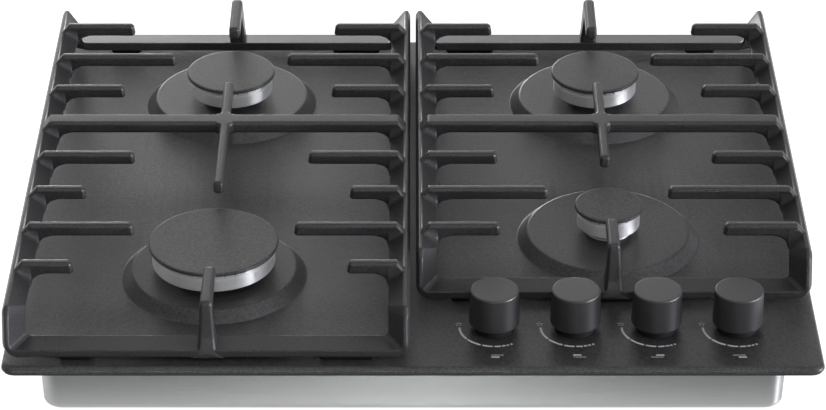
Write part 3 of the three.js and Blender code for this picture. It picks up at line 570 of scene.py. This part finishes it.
# %% The whole tray
def base_tray():
    wall, pocket = tray_rings(), pocket_rings()
    hole = (pocket[0], pocket_middle, POCKET + GUARD - POCKET_MARGIN)
    made = skin("drawn_steel_tray", [wall, pocket], wall[-1], [hole], 0)
    face_flat_part(made, upwards=False)
    walled(made, TRAY_WALL)
    settle(made, tray_steel, "chassis", ["base_tray"])


base_tray()

# %% [markdown]
# ## The flame rings, caps and cups
# A burner is a stack: a cup in the platform, a turned flame ring with slots round its upper edge,
# and an enamelled cap. All three are turned shapes. The slots are made in the same grid: the
# points on the ring's upper edge drop by the slot's depth at the angles where a slot is.

# %% Flame rings
CAP_FOOT = box_of("burner_crown_front_left")[1][2]
CROWN_WALL, CROWN_STEP, SHOULDER = 3, 1.2, 3.6
CROWN_FLOOR, CROWN_SIDE, CROWN_UNDERSIDE = 10.7, 13.7, 14.7
CROWN_BEVEL, SPIGOT_WALL, SPIGOT_SHELF = 2, 2, 4.6
CUP_WALL, CUP_NECK_TOP = 2, PLATFORM_TOP + 4.4
SPIGOT_GAP, CUP_GAP = 0.6, 0.3
SLOT_SPACING, SLOT_WIDTH, SLOT_DEPTH = 8.0, 2.0, 2.8
SLOT_LEAN = 0.004


def flame_ring(burner):
    """Grid of (section point, angle). The three points of the upper edge sink inside a slot."""
    low, high = box_of(f"burner_crown_{burner}")
    r = (high[0] - low[0]) / 2
    spigot = BURNER_HOLE[burner] - CUP_WALL - SPIGOT_GAP
    bore = spigot - SPIGOT_WALL
    outline = np.array([
        (bore, low[2]), (spigot, low[2]), (spigot, CUP_NECK_TOP), (spigot + SPIGOT_SHELF, CUP_NECK_TOP),
        (r - CROWN_BEVEL, CAP_FOOT - CROWN_UNDERSIDE), (r, CAP_FOOT - CROWN_SIDE),
        (r, CAP_FOOT - SHOULDER - CROWN_STEP), (r - CROWN_STEP, CAP_FOOT - SHOULDER),
        (r - CROWN_STEP, CAP_FOOT), (r - CROWN_WALL - CROWN_STEP, CAP_FOOT),
        (r - CROWN_WALL - CROWN_STEP, CAP_FOOT - CROWN_FLOOR), (bore, CAP_FOOT - CROWN_SIDE)])
    outline = eased(outline, 0.35, 3)
    slots = round(2 * math.pi * r / SLOT_SPACING)
    share = SLOT_WIDTH / SLOT_SPACING
    inside = np.array([0, SLOT_LEAN, share - SLOT_LEAN, share, 0.4, 0.6, 0.8]) / slots
    is_slot = np.array([0, 1, 1, 0, 0, 0, 0], bool)
    angle = (np.arange(slots)[:, None] / slots + inside).ravel() * 2 * np.pi
    z = np.repeat(outline[:, 1:], len(angle), 1)
    floor = CAP_FOOT - SLOT_DEPTH
    z = np.where(np.tile(is_slot, slots) & (z > floor), floor, z)
    radius = outline[:, :1]
    x, y = middle_of(f"burner_crown_{burner}")
    points = np.stack([x + radius * np.cos(angle), y + radius * np.sin(angle), z], -1)
    made = shape(f"flame_ring_{burner}", points, grid_faces(*points.shape[:2], loop_rows=True))
    crown = f"burner_crown_{burner}"
    settle(made, ring_aluminium, crown, [crown])
    print("   slots:", slots)


# %% Caps and cups
SKIRT_INSET, SKIRT_WALL = 4, 2
CAP_LOWER_EDGE, CAP_UPPER_EDGE = 0.7, 0.9
FLANGE_WIDTH, FLANGE_HEIGHT = 7, 1.4
BOSS_RADIUS, BOSS_LENGTH, BOSS_HEIGHT = 7, 10, 9
JET_BORE, JET_SEAT = 2.4, 3


def cap(burner):
    """A disc whose rim is rounded, and whose skirt drops inside the flame ring."""
    low, high = box_of(f"burner_cap_{burner}")
    r = (high[0] - low[0]) / 2
    crown = f"burner_crown_{burner}"
    skirt = box_of(crown)[1][0] - middle_of(crown)[0] - SKIRT_INSET
    outline = [(0, CAP_FOOT), (skirt - SKIRT_WALL, CAP_FOOT), (skirt - SKIRT_WALL, low[2]),
               (skirt, low[2]), (skirt, CAP_FOOT), (r - CAP_LOWER_EDGE, CAP_FOOT),
               (r, CAP_FOOT + CAP_LOWER_EDGE), (r, high[2] - CAP_UPPER_EDGE),
               (r - CAP_UPPER_EDGE, high[2]), (0, high[2])]
    soft = eased(outline, 0.6, 4, closed=False)
    made = turned(f"enamelled_cap_{burner}", soft, 128, middle_of(f"burner_cap_{burner}"))
    settle(made, cap_enamel, f"burner_cap_{burner}", [f"burner_cap_{burner}"])


def cup(burner):
    """The cup's turned shell with its floor, and the boss on its side that takes the jet."""
    low, high = box_of(f"burner_cup_{burner}")
    x, y = middle_of(f"burner_crown_{burner}")
    outer = BURNER_HOLE[burner] - CUP_GAP
    throat = outer - CUP_WALL
    flange, flange_top = outer + FLANGE_WIDTH, PLATFORM_TOP + FLANGE_HEIGHT
    outline = [(0, low[2]), (outer, low[2]), (outer, PLATFORM_TOP), (flange, PLATFORM_TOP),
               (flange, flange_top), (outer, flange_top), (outer, high[2]), (throat, high[2]),
               (throat, low[2] + CUP_WALL), (0, low[2] + CUP_WALL)]
    shell = turned("cup", eased(outline, 0.4, 3, closed=False), 72, (x, y))
    towards = 1 if burner != "back_right" else -1
    outline = [(0, 0), (BOSS_RADIUS, 0), (BOSS_RADIUS, BOSS_LENGTH), (JET_BORE, BOSS_LENGTH),
               (JET_BORE, JET_SEAT), (0, JET_SEAT)]
    lathe = turned_points(eased(outline, 0.5, 3, closed=False), 32)
    reach = throat + CUP_WALL / 2 + lathe[..., 2]
    height = low[2] + BOSS_HEIGHT + lathe[..., 1]
    boss_points = np.stack([x + towards * reach, y + lathe[..., 0], height], -1)
    boss = shape("boss", boss_points, grid_faces(*lathe.shape[:2]))
    made = united(f"cast_cup_{burner}", [shell, boss])
    settle(made, ring_aluminium, "chassis", [f"burner_cup_{burner}"])


for burner in BURNERS:
    flame_ring(burner)
    cap(burner)
    cup(burner)

# %% [markdown]
# ## Spark plugs and flame sensors
# Each burner has a ceramic spark plug with a metal tip, and a thin metal sensor. They are small
# turned shapes with a clip on the platform. The plug takes a second finish above its shoulder,
# face by face.

# %% Spark plugs and sensors
STUD_FOOT, CLIP_TOP = PLATFORM_TOP - 16, PLATFORM_TOP + 1.5
PLUG_RADIUS, PLUG_CLIP, PLUG_TOP = 2.1, 4.5, PLATFORM_TOP + 12
TIP_RADIUS, TIP_TOP = 0.8, PLATFORM_TOP + 17
SENSOR_RADIUS, SENSOR_CLIP, SENSOR_SIDE = 1.7, 3.5, PLATFORM_TOP + 13.9
SENSOR_BEVEL, SENSOR_TOP = 1.1, PLATFORM_TOP + 14.5


def stud(name, node, radius, clip, end, trim):
    """A turned rod with a clip. Its end is a list of points from its side to the axis."""
    outline = [(0, STUD_FOOT), (radius, STUD_FOOT), (radius, PLATFORM_TOP), (clip, PLATFORM_TOP),
               (clip, CLIP_TOP), (radius, CLIP_TOP), *end]
    return turned(name, eased(outline, trim, 3, closed=False), 32, middle_of(node))


def spark_plug(burner):
    """Faces whose middle lies above the ceramic's shoulder are the metal tip."""
    node = f"spark_electrode_{burner}"
    end = [(PLUG_RADIUS, PLUG_TOP), (TIP_RADIUS, PLUG_TOP), (TIP_RADIUS, TIP_TOP), (0, TIP_TOP)]
    made = stud(f"ceramic_spark_plug_{burner}", node, PLUG_RADIUS, PLUG_CLIP, end, 0.35)
    settle(made, glazed_ceramic, "chassis", [node])
    made.data.materials.append(rod_steel.material)
    is_tip = np.array([face.center.z for face in made.data.polygons]) > (PLUG_TOP + 0.1) * MM
    made.data.polygons.foreach_set("material_index", is_tip.astype(np.int32))


def flame_sensor(burner):
    node = f"flame_sensor_{burner}"
    end = [(SENSOR_RADIUS, SENSOR_SIDE), (SENSOR_BEVEL, SENSOR_TOP), (0, SENSOR_TOP)]
    made = stud(f"steel_flame_sensor_{burner}", node, SENSOR_RADIUS, SENSOR_CLIP, end, 0.3)
    settle(made, rod_steel, "chassis", [node])


for burner in BURNERS:
    spark_plug(burner)
    flame_sensor(burner)

# %% [markdown]
# ## Knobs and their collars
# A knob is a hollow turned cup: a hub for the tap's spindle, a thin wall with a small bevel at its
# foot, a side that narrows slightly upwards, and a flat top with a small rounded edge. It sits
# over a rubber collar on the plate.

# %% Knobs and collars
KNOB_FROM_FOOT = [(0, 16.8), (3.15, 16.8), (3.15, 3), (5.6, 3), (5.6, 7), (15.8, 7), (15.8, 0),
                  (18.1, 0), (18.8, 0.8)]
KNOB_FROM_TOP = [(18, -0.8), (17.2, 0), (0, 0)]
COLLAR_BORE, COLLAR_FOOT, COLLAR_SIDE, COLLAR_TOP, COLLAR_BEVEL = 6.6, 15.1, 14.7, 13.8, 1.3


def knob(burner):
    """Turned from radii with heights, measured up from the foot and then down from the top."""
    node = f"knob_{burner}"
    low, high = box_of(node)
    outline = [(r, low[2] + z) for r, z in KNOB_FROM_FOOT] + [(r, high[2] + z) for r, z in KNOB_FROM_TOP]
    soft = eased(outline, 0.6, 4, closed=False)
    made = turned(f"moulded_knob_{burner}", soft, 96, middle_of(node))
    settle(made, knob_plastic, node, [node])


def knob_collar(burner):
    """A turned ring that narrows upwards and is bevelled at its top."""
    node = f"knob_seal_{burner}"
    low, high = box_of(node)
    outline = [(COLLAR_BORE, low[2]), (COLLAR_FOOT, low[2]), (COLLAR_SIDE, high[2] - COLLAR_BEVEL),
               (COLLAR_TOP, high[2]), (COLLAR_BORE, high[2])]
    soft = eased(outline, 0.5, 4)
    made = turned(f"rubber_collar_{burner}", soft, 64, middle_of(node), closed=True)
    settle(made, collar_rubber, "chassis", [node])


for burner in BURNERS:
    knob(burner)
    knob_collar(burner)

# %% [markdown]
# ## The printed marks
# Round each knob are a star for the spark, an arc of dashes that shrink from full to low, and two
# bars that say which burner it serves. They are a thin coat of ink: flat bands on the plate,
# 0.08 mm thick.

# %% Printed marks
INK, INK_FOOT = 0.08, PLATE_TOP + 0.01
ARC_RADIUS, ARC_WIDTH = 25.5, 1.7
DASHES = [(179, 216), (219, 246), (249, 266.5), (269.5, 280), (282, 288), (290, 294), (297, 300.5)]
STAR_X, STAR_Y = -26, 5.2
STAR_POINT, STAR_NOTCH, STAR_LINE_IN, STAR_LINE_OUT = 2.9, 1.3, 0.4, 0.05
THIN_BAR = {"left": (-3.1, 6.3), "right": (-6.3, 3.1)}
THICK_BAR = {"left": (-2.9, 3.1), "right": (-2.3, 3.7)}
NEAR_ROW, FAR_ROW = 37.1, 39.8
THIN, THICK = 0.6, 1.7


def ink_loop(inner, outer):
    """Four corners at every step of a strip: both edges at the foot of the ink and at its top."""
    edges = np.stack([inner, outer])
    foot = np.concatenate([edges, np.full((*edges.shape[:2], 1), INK_FOOT)], -1)
    top = foot + [0, 0, INK]
    return np.stack([foot[0], foot[1], top[1], top[0]], 1)


def band(inner, outer):
    """A flat strip between two lines of points, both (n, 2), laid on the plate as ink."""
    loop = ink_loop(inner, outer)
    last = 4 * len(loop) - 4
    ends = [[0, 1, 2, 3], [last, last + 3, last + 2, last + 1]]
    return loop.reshape(-1, 3), grid_faces(len(loop), 4) + ends


def closed_band(inner, outer):
    """The same for a strip that closes on itself, such as the star's outline."""
    loop = ink_loop(inner, outer)
    return loop.reshape(-1, 3), grid_faces(len(loop), 4, loop_rows=True)


def bar_mark(middle, ends, y, width):
    x = middle + np.array(ends)
    lower, upper = np.full(2, y - width / 2), np.full(2, y + width / 2)
    return band(np.stack([x, lower], -1), np.stack([x, upper], -1))


def arc_mark(centre, start, end):
    t = np.radians(np.linspace(start, end, max(2, int((end - start) / 2))))
    way = np.stack([np.cos(t), np.sin(t)], -1)
    return band(centre + (ARC_RADIUS - ARC_WIDTH / 2) * way, centre + (ARC_RADIUS + ARC_WIDTH / 2) * way)


def star_mark(centre):
    t = np.radians(90 + 36 * np.arange(10))
    reach = np.where(np.arange(10) % 2 == 0, STAR_POINT, STAR_NOTCH)[:, None]
    way = np.stack([np.cos(t), np.sin(t)], -1)
    return closed_band(centre + (reach - STAR_LINE_IN) * way, centre + (reach + STAR_LINE_OUT) * way)


def marks(burner):
    x, y = knob_middles[burner]
    parts = [arc_mark(knob_middles[burner], start, end) for start, end in DASHES]
    parts.append(star_mark(np.array([x + STAR_X, y + STAR_Y])))
    row, side = burner.split("_")
    thin_row, thick_row = (NEAR_ROW, FAR_ROW) if row == "front" else (FAR_ROW, NEAR_ROW)
    parts.append(bar_mark(x, THIN_BAR[side], y - thin_row, THIN))
    parts.append(bar_mark(x, THICK_BAR[side], y - thick_row, THICK))
    points, faces, count = [], [], 0
    for part_points, part_faces in parts:
        points.append(part_points)
        faces += [[i + count for i in face] for face in part_faces]
        count += len(part_points)
    made = shape(f"dial_marks_{burner}", np.concatenate(points), faces)
    settle(made, print_grey, "chassis")


for burner in BURNERS:
    marks(burner)

# %% [markdown]
# ## The pan supports
# Each support is one casting. Its ring stands high along both sides and runs low along front and
# back. Fingers reach in from the ring, a crossbar joins its sides, and a spine crosses the bar.
# The ring is a six-sided section carried round a loop, and every finger is an eight-sided section
# between an upper and a lower line. Corners are rounded both round the section and along the path.

# %% Shapes of a casting
RAIL_TOP, FINGER_TOP, FINGER_HEIGHT = 39, 46.4, 10
FINGER_LOW = FINGER_TOP - FINGER_HEIGHT
UNDER = 3.2
CHAMFER = 1.9
TIP_SLANT = 1.6
STRIP_BACK = 19
CROSSBAR_Y = 35


def corner_sections(turns=8):
    """Sections from the end of the high side rail, down the post and round to the low rail.
    Points are (across from the outer side, back from the low rail's face, height)."""
    low, back = RAIL_TOP - 12, STRIP_BACK
    first = [
        [(0, back + 4, low), (0, 13.5, RAIL_TOP - 4.2), (2.2, 13.5, RAIL_TOP),
         (4.9, 13.5, RAIL_TOP), (16, 26.5, RAIL_TOP - 7.5), (15, back + 6, low)],
        [(0, back + 1, low - 4), (0, 11.7, RAIL_TOP - 6), (2.2, 7.5, RAIL_TOP - 6),
         (4.9, 7.5, RAIL_TOP - 6), (16, 25, RAIL_TOP - 12.5), (15, back + 4, low - 6)]]
    t = np.linspace(0, 1, turns + 1)
    cos, sin = np.cos(t * np.pi / 2), np.sin(t * np.pi / 2)

    def outer(inset, y):
        return np.stack([10 - (10 - inset) * cos, y, UNDER + 10 - (10 - inset) * sin], -1)

    def mix(a, b):
        return a + (b - a) * t

    bend = np.stack([
        outer(0, mix(back - 3, back - 6)), outer(0, mix(4.2, 0.5)),
        outer(mix(2.2, 0.5), 0 * t), outer(mix(4.9, 6), 0 * t),
        np.stack([16 + 4 * (1 - cos), 0 * t + back, UNDER + 7.2 + 4 * (1 - sin)], -1),
        np.stack([mix(15, 20), back + mix(1, 0), UNDER + mix(7.2, 0)], -1)], 1)
    return np.concatenate([np.array(first, float), bend])


def support_ring(centre, half, front, back):
    """Four corners, mirrored into place and joined in one loop."""
    sections = corner_sections()

    def corner(side, face, towards):
        across, depth, z = np.moveaxis(sections, -1, 0)
        return np.stack([centre + side * (half - across), face + towards * depth, z + PLATE_TOP], -1)

    loop = np.concatenate([corner(-1, front, 1), corner(1, front, 1)[::-1],
                           corner(1, back, -1), corner(-1, back, -1)[::-1]])
    loop = eased(loop, 0.9, 4)
    loop = np.swapaxes(eased(np.swapaxes(loop, 0, 1), 1.3, 3), 0, 1)
    return shape("ring", loop, grid_faces(*loop.shape[:2], loop_rows=True))


def cast_bar(upper, lower, half_width, place, tips=(False, True), chamfer=CHAMFER):
    """A bar between an upper and a lower line, (n, 2) each of (along, height).
    At each pair the section is a rectangle with chamfered corners. A tip shrinks by the chamfer."""
    upper, lower = np.array(upper, float), np.array(lower, float)
    width = np.broadcast_to(np.asarray(half_width, float), len(upper)).copy()
    cut = np.full(len(upper), float(chamfer))
    for end, is_tip in zip((0, -1), tips):
        if not is_tip:
            continue
        inward = np.sign(upper[1 if end == 0 else -2][0] - upper[end][0])
        down = (lower[end] - upper[end]) / np.linalg.norm(lower[end] - upper[end])
        at = 0 if end == 0 else len(upper)
        upper = np.insert(upper, at, upper[end] + down * chamfer, 0)
        lower = np.insert(lower, at, lower[end] - down * chamfer, 0)
        width = np.insert(width, at, width[end] - chamfer)
        cut = np.insert(cut, at, 0.3)
        moved = 1 if end == 0 else -2
        upper[moved] += (inward * chamfer, 0)
        lower[moved] += (inward * chamfer, 0)
    drop = upper - lower
    drop /= np.linalg.norm(drop, axis=1, keepdims=True)
    half = [(upper, 0, 1), (upper, -1, 0), (lower, 1, 0), (lower, 0, 1)]
    corners = [(line, step, 1, trim) for line, step, trim in half]
    corners += [(line, step, -1, trim) for line, step, trim in half[::-1]]
    rows = []
    for line, step, side, trim in corners:
        flat = line + drop * (step * cut)[:, None]
        rows.append(np.column_stack([flat, side * (width - trim * cut)]))
    section = eased(np.stack(rows, 1), 0.7, 3)
    section = np.swapaxes(eased(np.swapaxes(section, 0, 1), 0.8, 3, closed=False), 0, 1)
    n, m = section.shape[:2]
    points = place(*np.moveaxis(section, -1, 0))
    faces = grid_faces(n, m) + [list(range(m)), list(range(n * m - m, n * m))]
    return shape("bar", points, faces)


# %% [markdown]
# A side finger starts on the rail's strip, climbs a short ramp, and has a fillet under its root. A
# centre finger starts as a leg on the low rail, whose foot flares out, and bends over at the top.

# %% Fingers, crossbar and spine
FINGER_HALF, CROSSBAR_HALF, CENTRE_HALF = 3.9, 7.7, 4.5
ROOT_UPPER = [(3.2, 39), (9.6, FINGER_TOP), (12, FINGER_TOP), (15, FINGER_TOP), (17.2, FINGER_TOP),
              (20.5, FINGER_TOP), (26.5, FINGER_TOP)]
ROOT_LOWER = [(3.2, 29), (9.6, 27.5), (12, 26.5), (15, 27), (17.2, 31), (20.5, 34.4), (26.5, FINGER_LOW)]
WEB = 4.2


def tip_pair(reach):
    """Upper and lower point of a slanted tip."""
    return (reach - TIP_SLANT, FINGER_TOP), (reach, FINGER_LOW)


def side_place(side, centre, half, y):
    """Turns (along from the ring's outer side, height, across) into a point in the scene."""
    def place(along, z, across):
        return np.stack([centre + side * (half - along), y + across, PLATE_TOP + z], -1)

    return place


def side_finger(side, centre, half, y, tip_x):
    reach = half - side * (tip_x - centre)
    up, down = tip_pair(reach)
    place = side_place(side, centre, half, y)
    return cast_bar(ROOT_UPPER + [up], ROOT_LOWER + [down], FINGER_HALF, place)


def root_webs(places, half_width):
    """Small wedges between a bar's sides and the rail's slope, one on each side of each root.
    Stations down the slope have a point inside, one up the bar by WEB and one out by WEB."""
    w, wide = half_width, WEB + half_width
    stations = np.array([
        [(5.0, 36, w - 1.5), (5.0, 40.4, w - 0.1), (5.0, 38.7, w + 1.6)],
        [(8, 33, w - 1.5), (8, 36.8 + WEB, w - 0.1), (8, 36.7, wide)],
        [(14.5, 28.5, w - 1.5), (16.2, 31.5 + WEB, w - 0.1), (15.7, 31.5, wide)],
        [(14.5, 26.5, w - 1.5), (17.6, 32.4, w - 0.3), (15.7, 27.5, wide)]])
    points, faces = [], []
    for place in places:
        for mirror in (1, -1):
            one = stations * [1, 1, mirror]
            first = 12 * len(points)
            faces += grid_faces(4, 3, first=first)
            faces += [[first, first + 1, first + 2], [first + 9, first + 10, first + 11]]
            points.append(place(*np.moveaxis(one, -1, 0)).reshape(-1, 3))
    return shape("webs", np.concatenate(points), faces)


def crossbar(centre, half):
    upper = ROOT_UPPER + [(2 * half - a, z) for a, z in ROOT_UPPER[::-1]]
    lower = ROOT_LOWER + [(2 * half - a, z) for a, z in ROOT_LOWER[::-1]]
    place = side_place(-1, centre, half, CROSSBAR_Y)
    return cast_bar(upper, lower, CROSSBAR_HALF, place, tips=(False, False))


LEG_UPPER = [(-0.5, 2.8), (-0.6, 4.4), (-0.4, 6.4), (0.2, 9.9), (2.1, 18), (5.9, 44.4),
             (8, FINGER_TOP), (14, FINGER_TOP), (20, FINGER_TOP), (28, FINGER_TOP)]
LEG_LOWER = [(18, 2.8), (18, 4.4), (18, 6.4), (17.9, 9.9), (17.6, 18), (17.5, 27.6),
             (18.4, 31.6), (20.4, 34.4), (23.6, 36), (28, FINGER_LOW)]
LEG_HALF = [13.5, 10.8, 8.3, 6.8, 6.0, 4.6] + [CENTRE_HALF] * 5


def centre_finger(x, face, tip_y):
    towards = 1 if tip_y > face else -1
    up, down = tip_pair(abs(tip_y - face))

    def place(along, z, across):
        return np.stack([x + across, face + towards * along, PLATE_TOP + z], -1)

    return cast_bar(LEG_UPPER + [up], LEG_LOWER + [down], LEG_HALF, place)


SWELL = [(12.7, 3.9), (9.7, 4.6), (8.3, 6), (7.2, 8.5)]


def spine(x, front, back):
    """Runs through the crossbar, and widens in a small curve on both sides of it."""
    def place(along, z, across):
        return np.stack([x + across, along, PLATE_TOP + z], -1)

    rows = [(front, FINGER_HALF)]
    rows += [(CROSSBAR_Y - away, wide) for away, wide in SWELL]
    rows += [(CROSSBAR_Y + away, wide) for away, wide in SWELL[::-1]]
    rows += [(back, FINGER_HALF)]
    upper = [(y, FINGER_TOP) for y, _ in rows]
    upper[0], upper[-1] = (front + TIP_SLANT, FINGER_TOP), (back - TIP_SLANT, FINGER_TOP)
    lower = [(y, FINGER_LOW) for y, _ in rows]
    return cast_bar(upper, lower, [wide for _, wide in rows], place, tips=(True, True))


# %% Both supports
NEAR, WIDE, FAR, OUTER, BETWEEN = 45.5, 60, 83.5, 101, 67.5
ROWS = {
    "left": [(200, FAR), (145, NEAR), (90, FAR), (-20, BETWEEN), (-75, OUTER), (-130, WIDE),
             (-185, OUTER)],
    "right": [(200, FAR), (145, NEAR), (90, FAR), (-20, FAR), (-75, NEAR), (-130, FAR)],
}
SPINE_X = {"left": -150, "right": 150}
SPINES = {"left": (-70, 99.5), "right": (-29.5, 99.5)}
CENTRE_TIPS = {"left": (-190, 190.5), "right": (-120.5, 190.5)}


def pan_support(side):
    low, high = box_of(f"pan_support_{side}")
    centre, half = (low[0] + high[0]) / 2, (high[0] - low[0]) / 2
    front, back = low[1], high[1]
    x = SPINE_X[side]
    parts = [support_ring(centre, half, front, back), crossbar(centre, half)]
    roots = []
    for y, reach in ROWS[side]:
        for hand in (-1, 1):
            parts.append(side_finger(hand, centre, half, y, x + hand * reach))
            roots.append(side_place(hand, centre, half, y))
    parts.append(root_webs(roots, FINGER_HALF))
    bar_ends = [side_place(hand, centre, half, CROSSBAR_Y) for hand in (-1, 1)]
    parts.append(root_webs(bar_ends, CROSSBAR_HALF))
    parts.append(spine(x, *SPINES[side]))
    front_tip, back_tip = CENTRE_TIPS[side]
    parts.append(centre_finger(x, front, front_tip))
    parts.append(centre_finger(x, back, back_tip))
    made = united(f"cast_pan_support_{side}", parts)
    settle(made, cast_enamel, f"pan_support_{side}", [f"pan_support_{side}"])


pan_support("left")
pan_support("right")

# %% [markdown]
# ## The pieces that stay as solids
# The feet, the seal and everything inside the tray have the right shape already. They only need
# their finishes.

# %% Finishes for the solids
KEPT = {
    "support_foot": foot_rubber, "rim_seal": foam_rubber, "feed_pipe": pipe_aluminium,
    "spindle": rod_steel, "tap_body": tap_brass, "tap_plug": tap_brass, "gas_manifold": zinc_steel,
    "inlet_elbow": tap_brass, "ignition_generator": box_plastic,
}
for node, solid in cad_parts.items():
    for start, finish in KEPT.items():
        if node.startswith(start):
            solid.data.materials.clear()
            solid.data.materials.append(finish.material)
            print(node, "keeps its solid, in", finish.material.name)

# %% [markdown]
# ## Light and floor
# A satin black object shows its light rather than its colour. The room is a dim even haze with a
# few soft lights in it. Each light is a lobe: its strength times the cosine of the angle from its
# middle, raised to a power that makes it narrow. Two broad ones stand low at the right, a little
# cool, and shape the knobs and the flame rings. Two low at the back are mirrored by all level
# faces, and three fainter ones higher up fill in. A narrow one low in front is there for one thing
# only: the bright band along the tray's bend.

# %% Room light
HAZE = 0.51
COOL_TINT = (0.97, 0.975, 1.07)
LOBES = [
    # azimuth from +X and elevation in degrees, strength, power, tint
    (-18, 0, 61, 45, "cool"),
    (0, 1, 14, 90, "cool"),
    (100, 3, 26, 120, "white"),
    (84, 3, 7, 120, "white"),
    (-15, 60, 2.0, 40, "white"),
    (-90, 60, 9, 400, "white"),
    (102, 40, 0.7, 40, "white"),
    (-90, 2, 270, 5000, "white"),
]


def room_light():
    scene.world = bpy.data.worlds.new("studio")
    scene.world.use_nodes = True
    room = Wiring(scene.world.node_tree)
    way = room.node("ShaderNodeTexCoord", {}, {}, "Generated")
    light = {"cool": 0.0, "white": HAZE}
    for azimuth, elevation, strength, power, tint in LOBES:
        turn, rise = math.radians(azimuth), math.radians(elevation)
        middle = (math.cos(rise) * math.cos(turn), math.cos(rise) * math.sin(turn), math.sin(rise))
        dot = {"operation": "DOT_PRODUCT"}
        facing = room.node("ShaderNodeVectorMath", dot, {0: way, 1: middle}, "Value")
        facing = facing.maths("MAXIMUM", facing, 0.0)
        light[tint] = facing.maths("POWER", facing, power) * strength + light[tint]
    tinted = {0: COOL_TINT, "Scale": light["cool"]}
    cool = room.node("ShaderNodeVectorMath", {"operation": "SCALE"}, tinted, 0)
    white = room.node("ShaderNodeCombineXYZ", {}, {channel: light["white"] for channel in range(3)}, 0)
    both = room.node("ShaderNodeVectorMath", {"operation": "ADD"}, {0: cool, 1: white}, 0)
    glow = next(n for n in room.tree.nodes if n.type == "BACKGROUND")
    room.wire(glow.inputs["Color"], both)
    room.wire(glow.inputs["Strength"], 1.0)
    print("lights in the room:", len(LOBES))


room_light()

# %% [markdown]
# The table glows by its own emission, white from the object's front edge back. In front of the
# object, and far to its right, the glow falls off to grey, a painted shade, because bright paper there
# would be mirrored in every upright face. The front fade starts at the tray's front edge, so it also
# stands in for the shade under the tray's bend. Distances here are in metres.

# %% Table
# Edges of the painted glow: the front fade ends at the tray's front edge as painted shade under its bend
FRONT_FADE, RIGHT_FADE, RIGHT_LOSS = (-0.29, -0.243), (0.45, 0.75), 0.8
TABLE_SIDE, TABLE_HEIGHT = 8000, -0.3
glowing_table = Finish("glowing_table", (0.25, 0.25, 0.25), 0.7)
across = glowing_table.node("ShaderNodeSeparateXYZ", {}, {0: glowing_table.place}, 0)
depth = glowing_table.node("ShaderNodeSeparateXYZ", {}, {0: glowing_table.place}, 1)
# Painted light and shade: emission is white behind the front edge and painted grey in front and to the
# right
painted_glow = depth.above(*FRONT_FADE) * (1.0 - across.above(*RIGHT_FADE) * RIGHT_LOSS)
glowing_table.set("Emission Color", glowing_table.blend(painted_glow, (0.03, 0.03, 0.03), (1, 1, 1)))
glowing_table.set("Emission Strength", 1.0)
table_corners = TABLE_SIDE * np.array([[-1, -1, 0], [1, -1, 0], [1, 1, 0], [-1, 1, 0]])
table = shape("glowing_table", table_corners + [0, 0, TABLE_HEIGHT], [[0, 1, 2, 3]])
table.data.materials.append(glowing_table.material)
scene.view_settings.view_transform = "Standard"
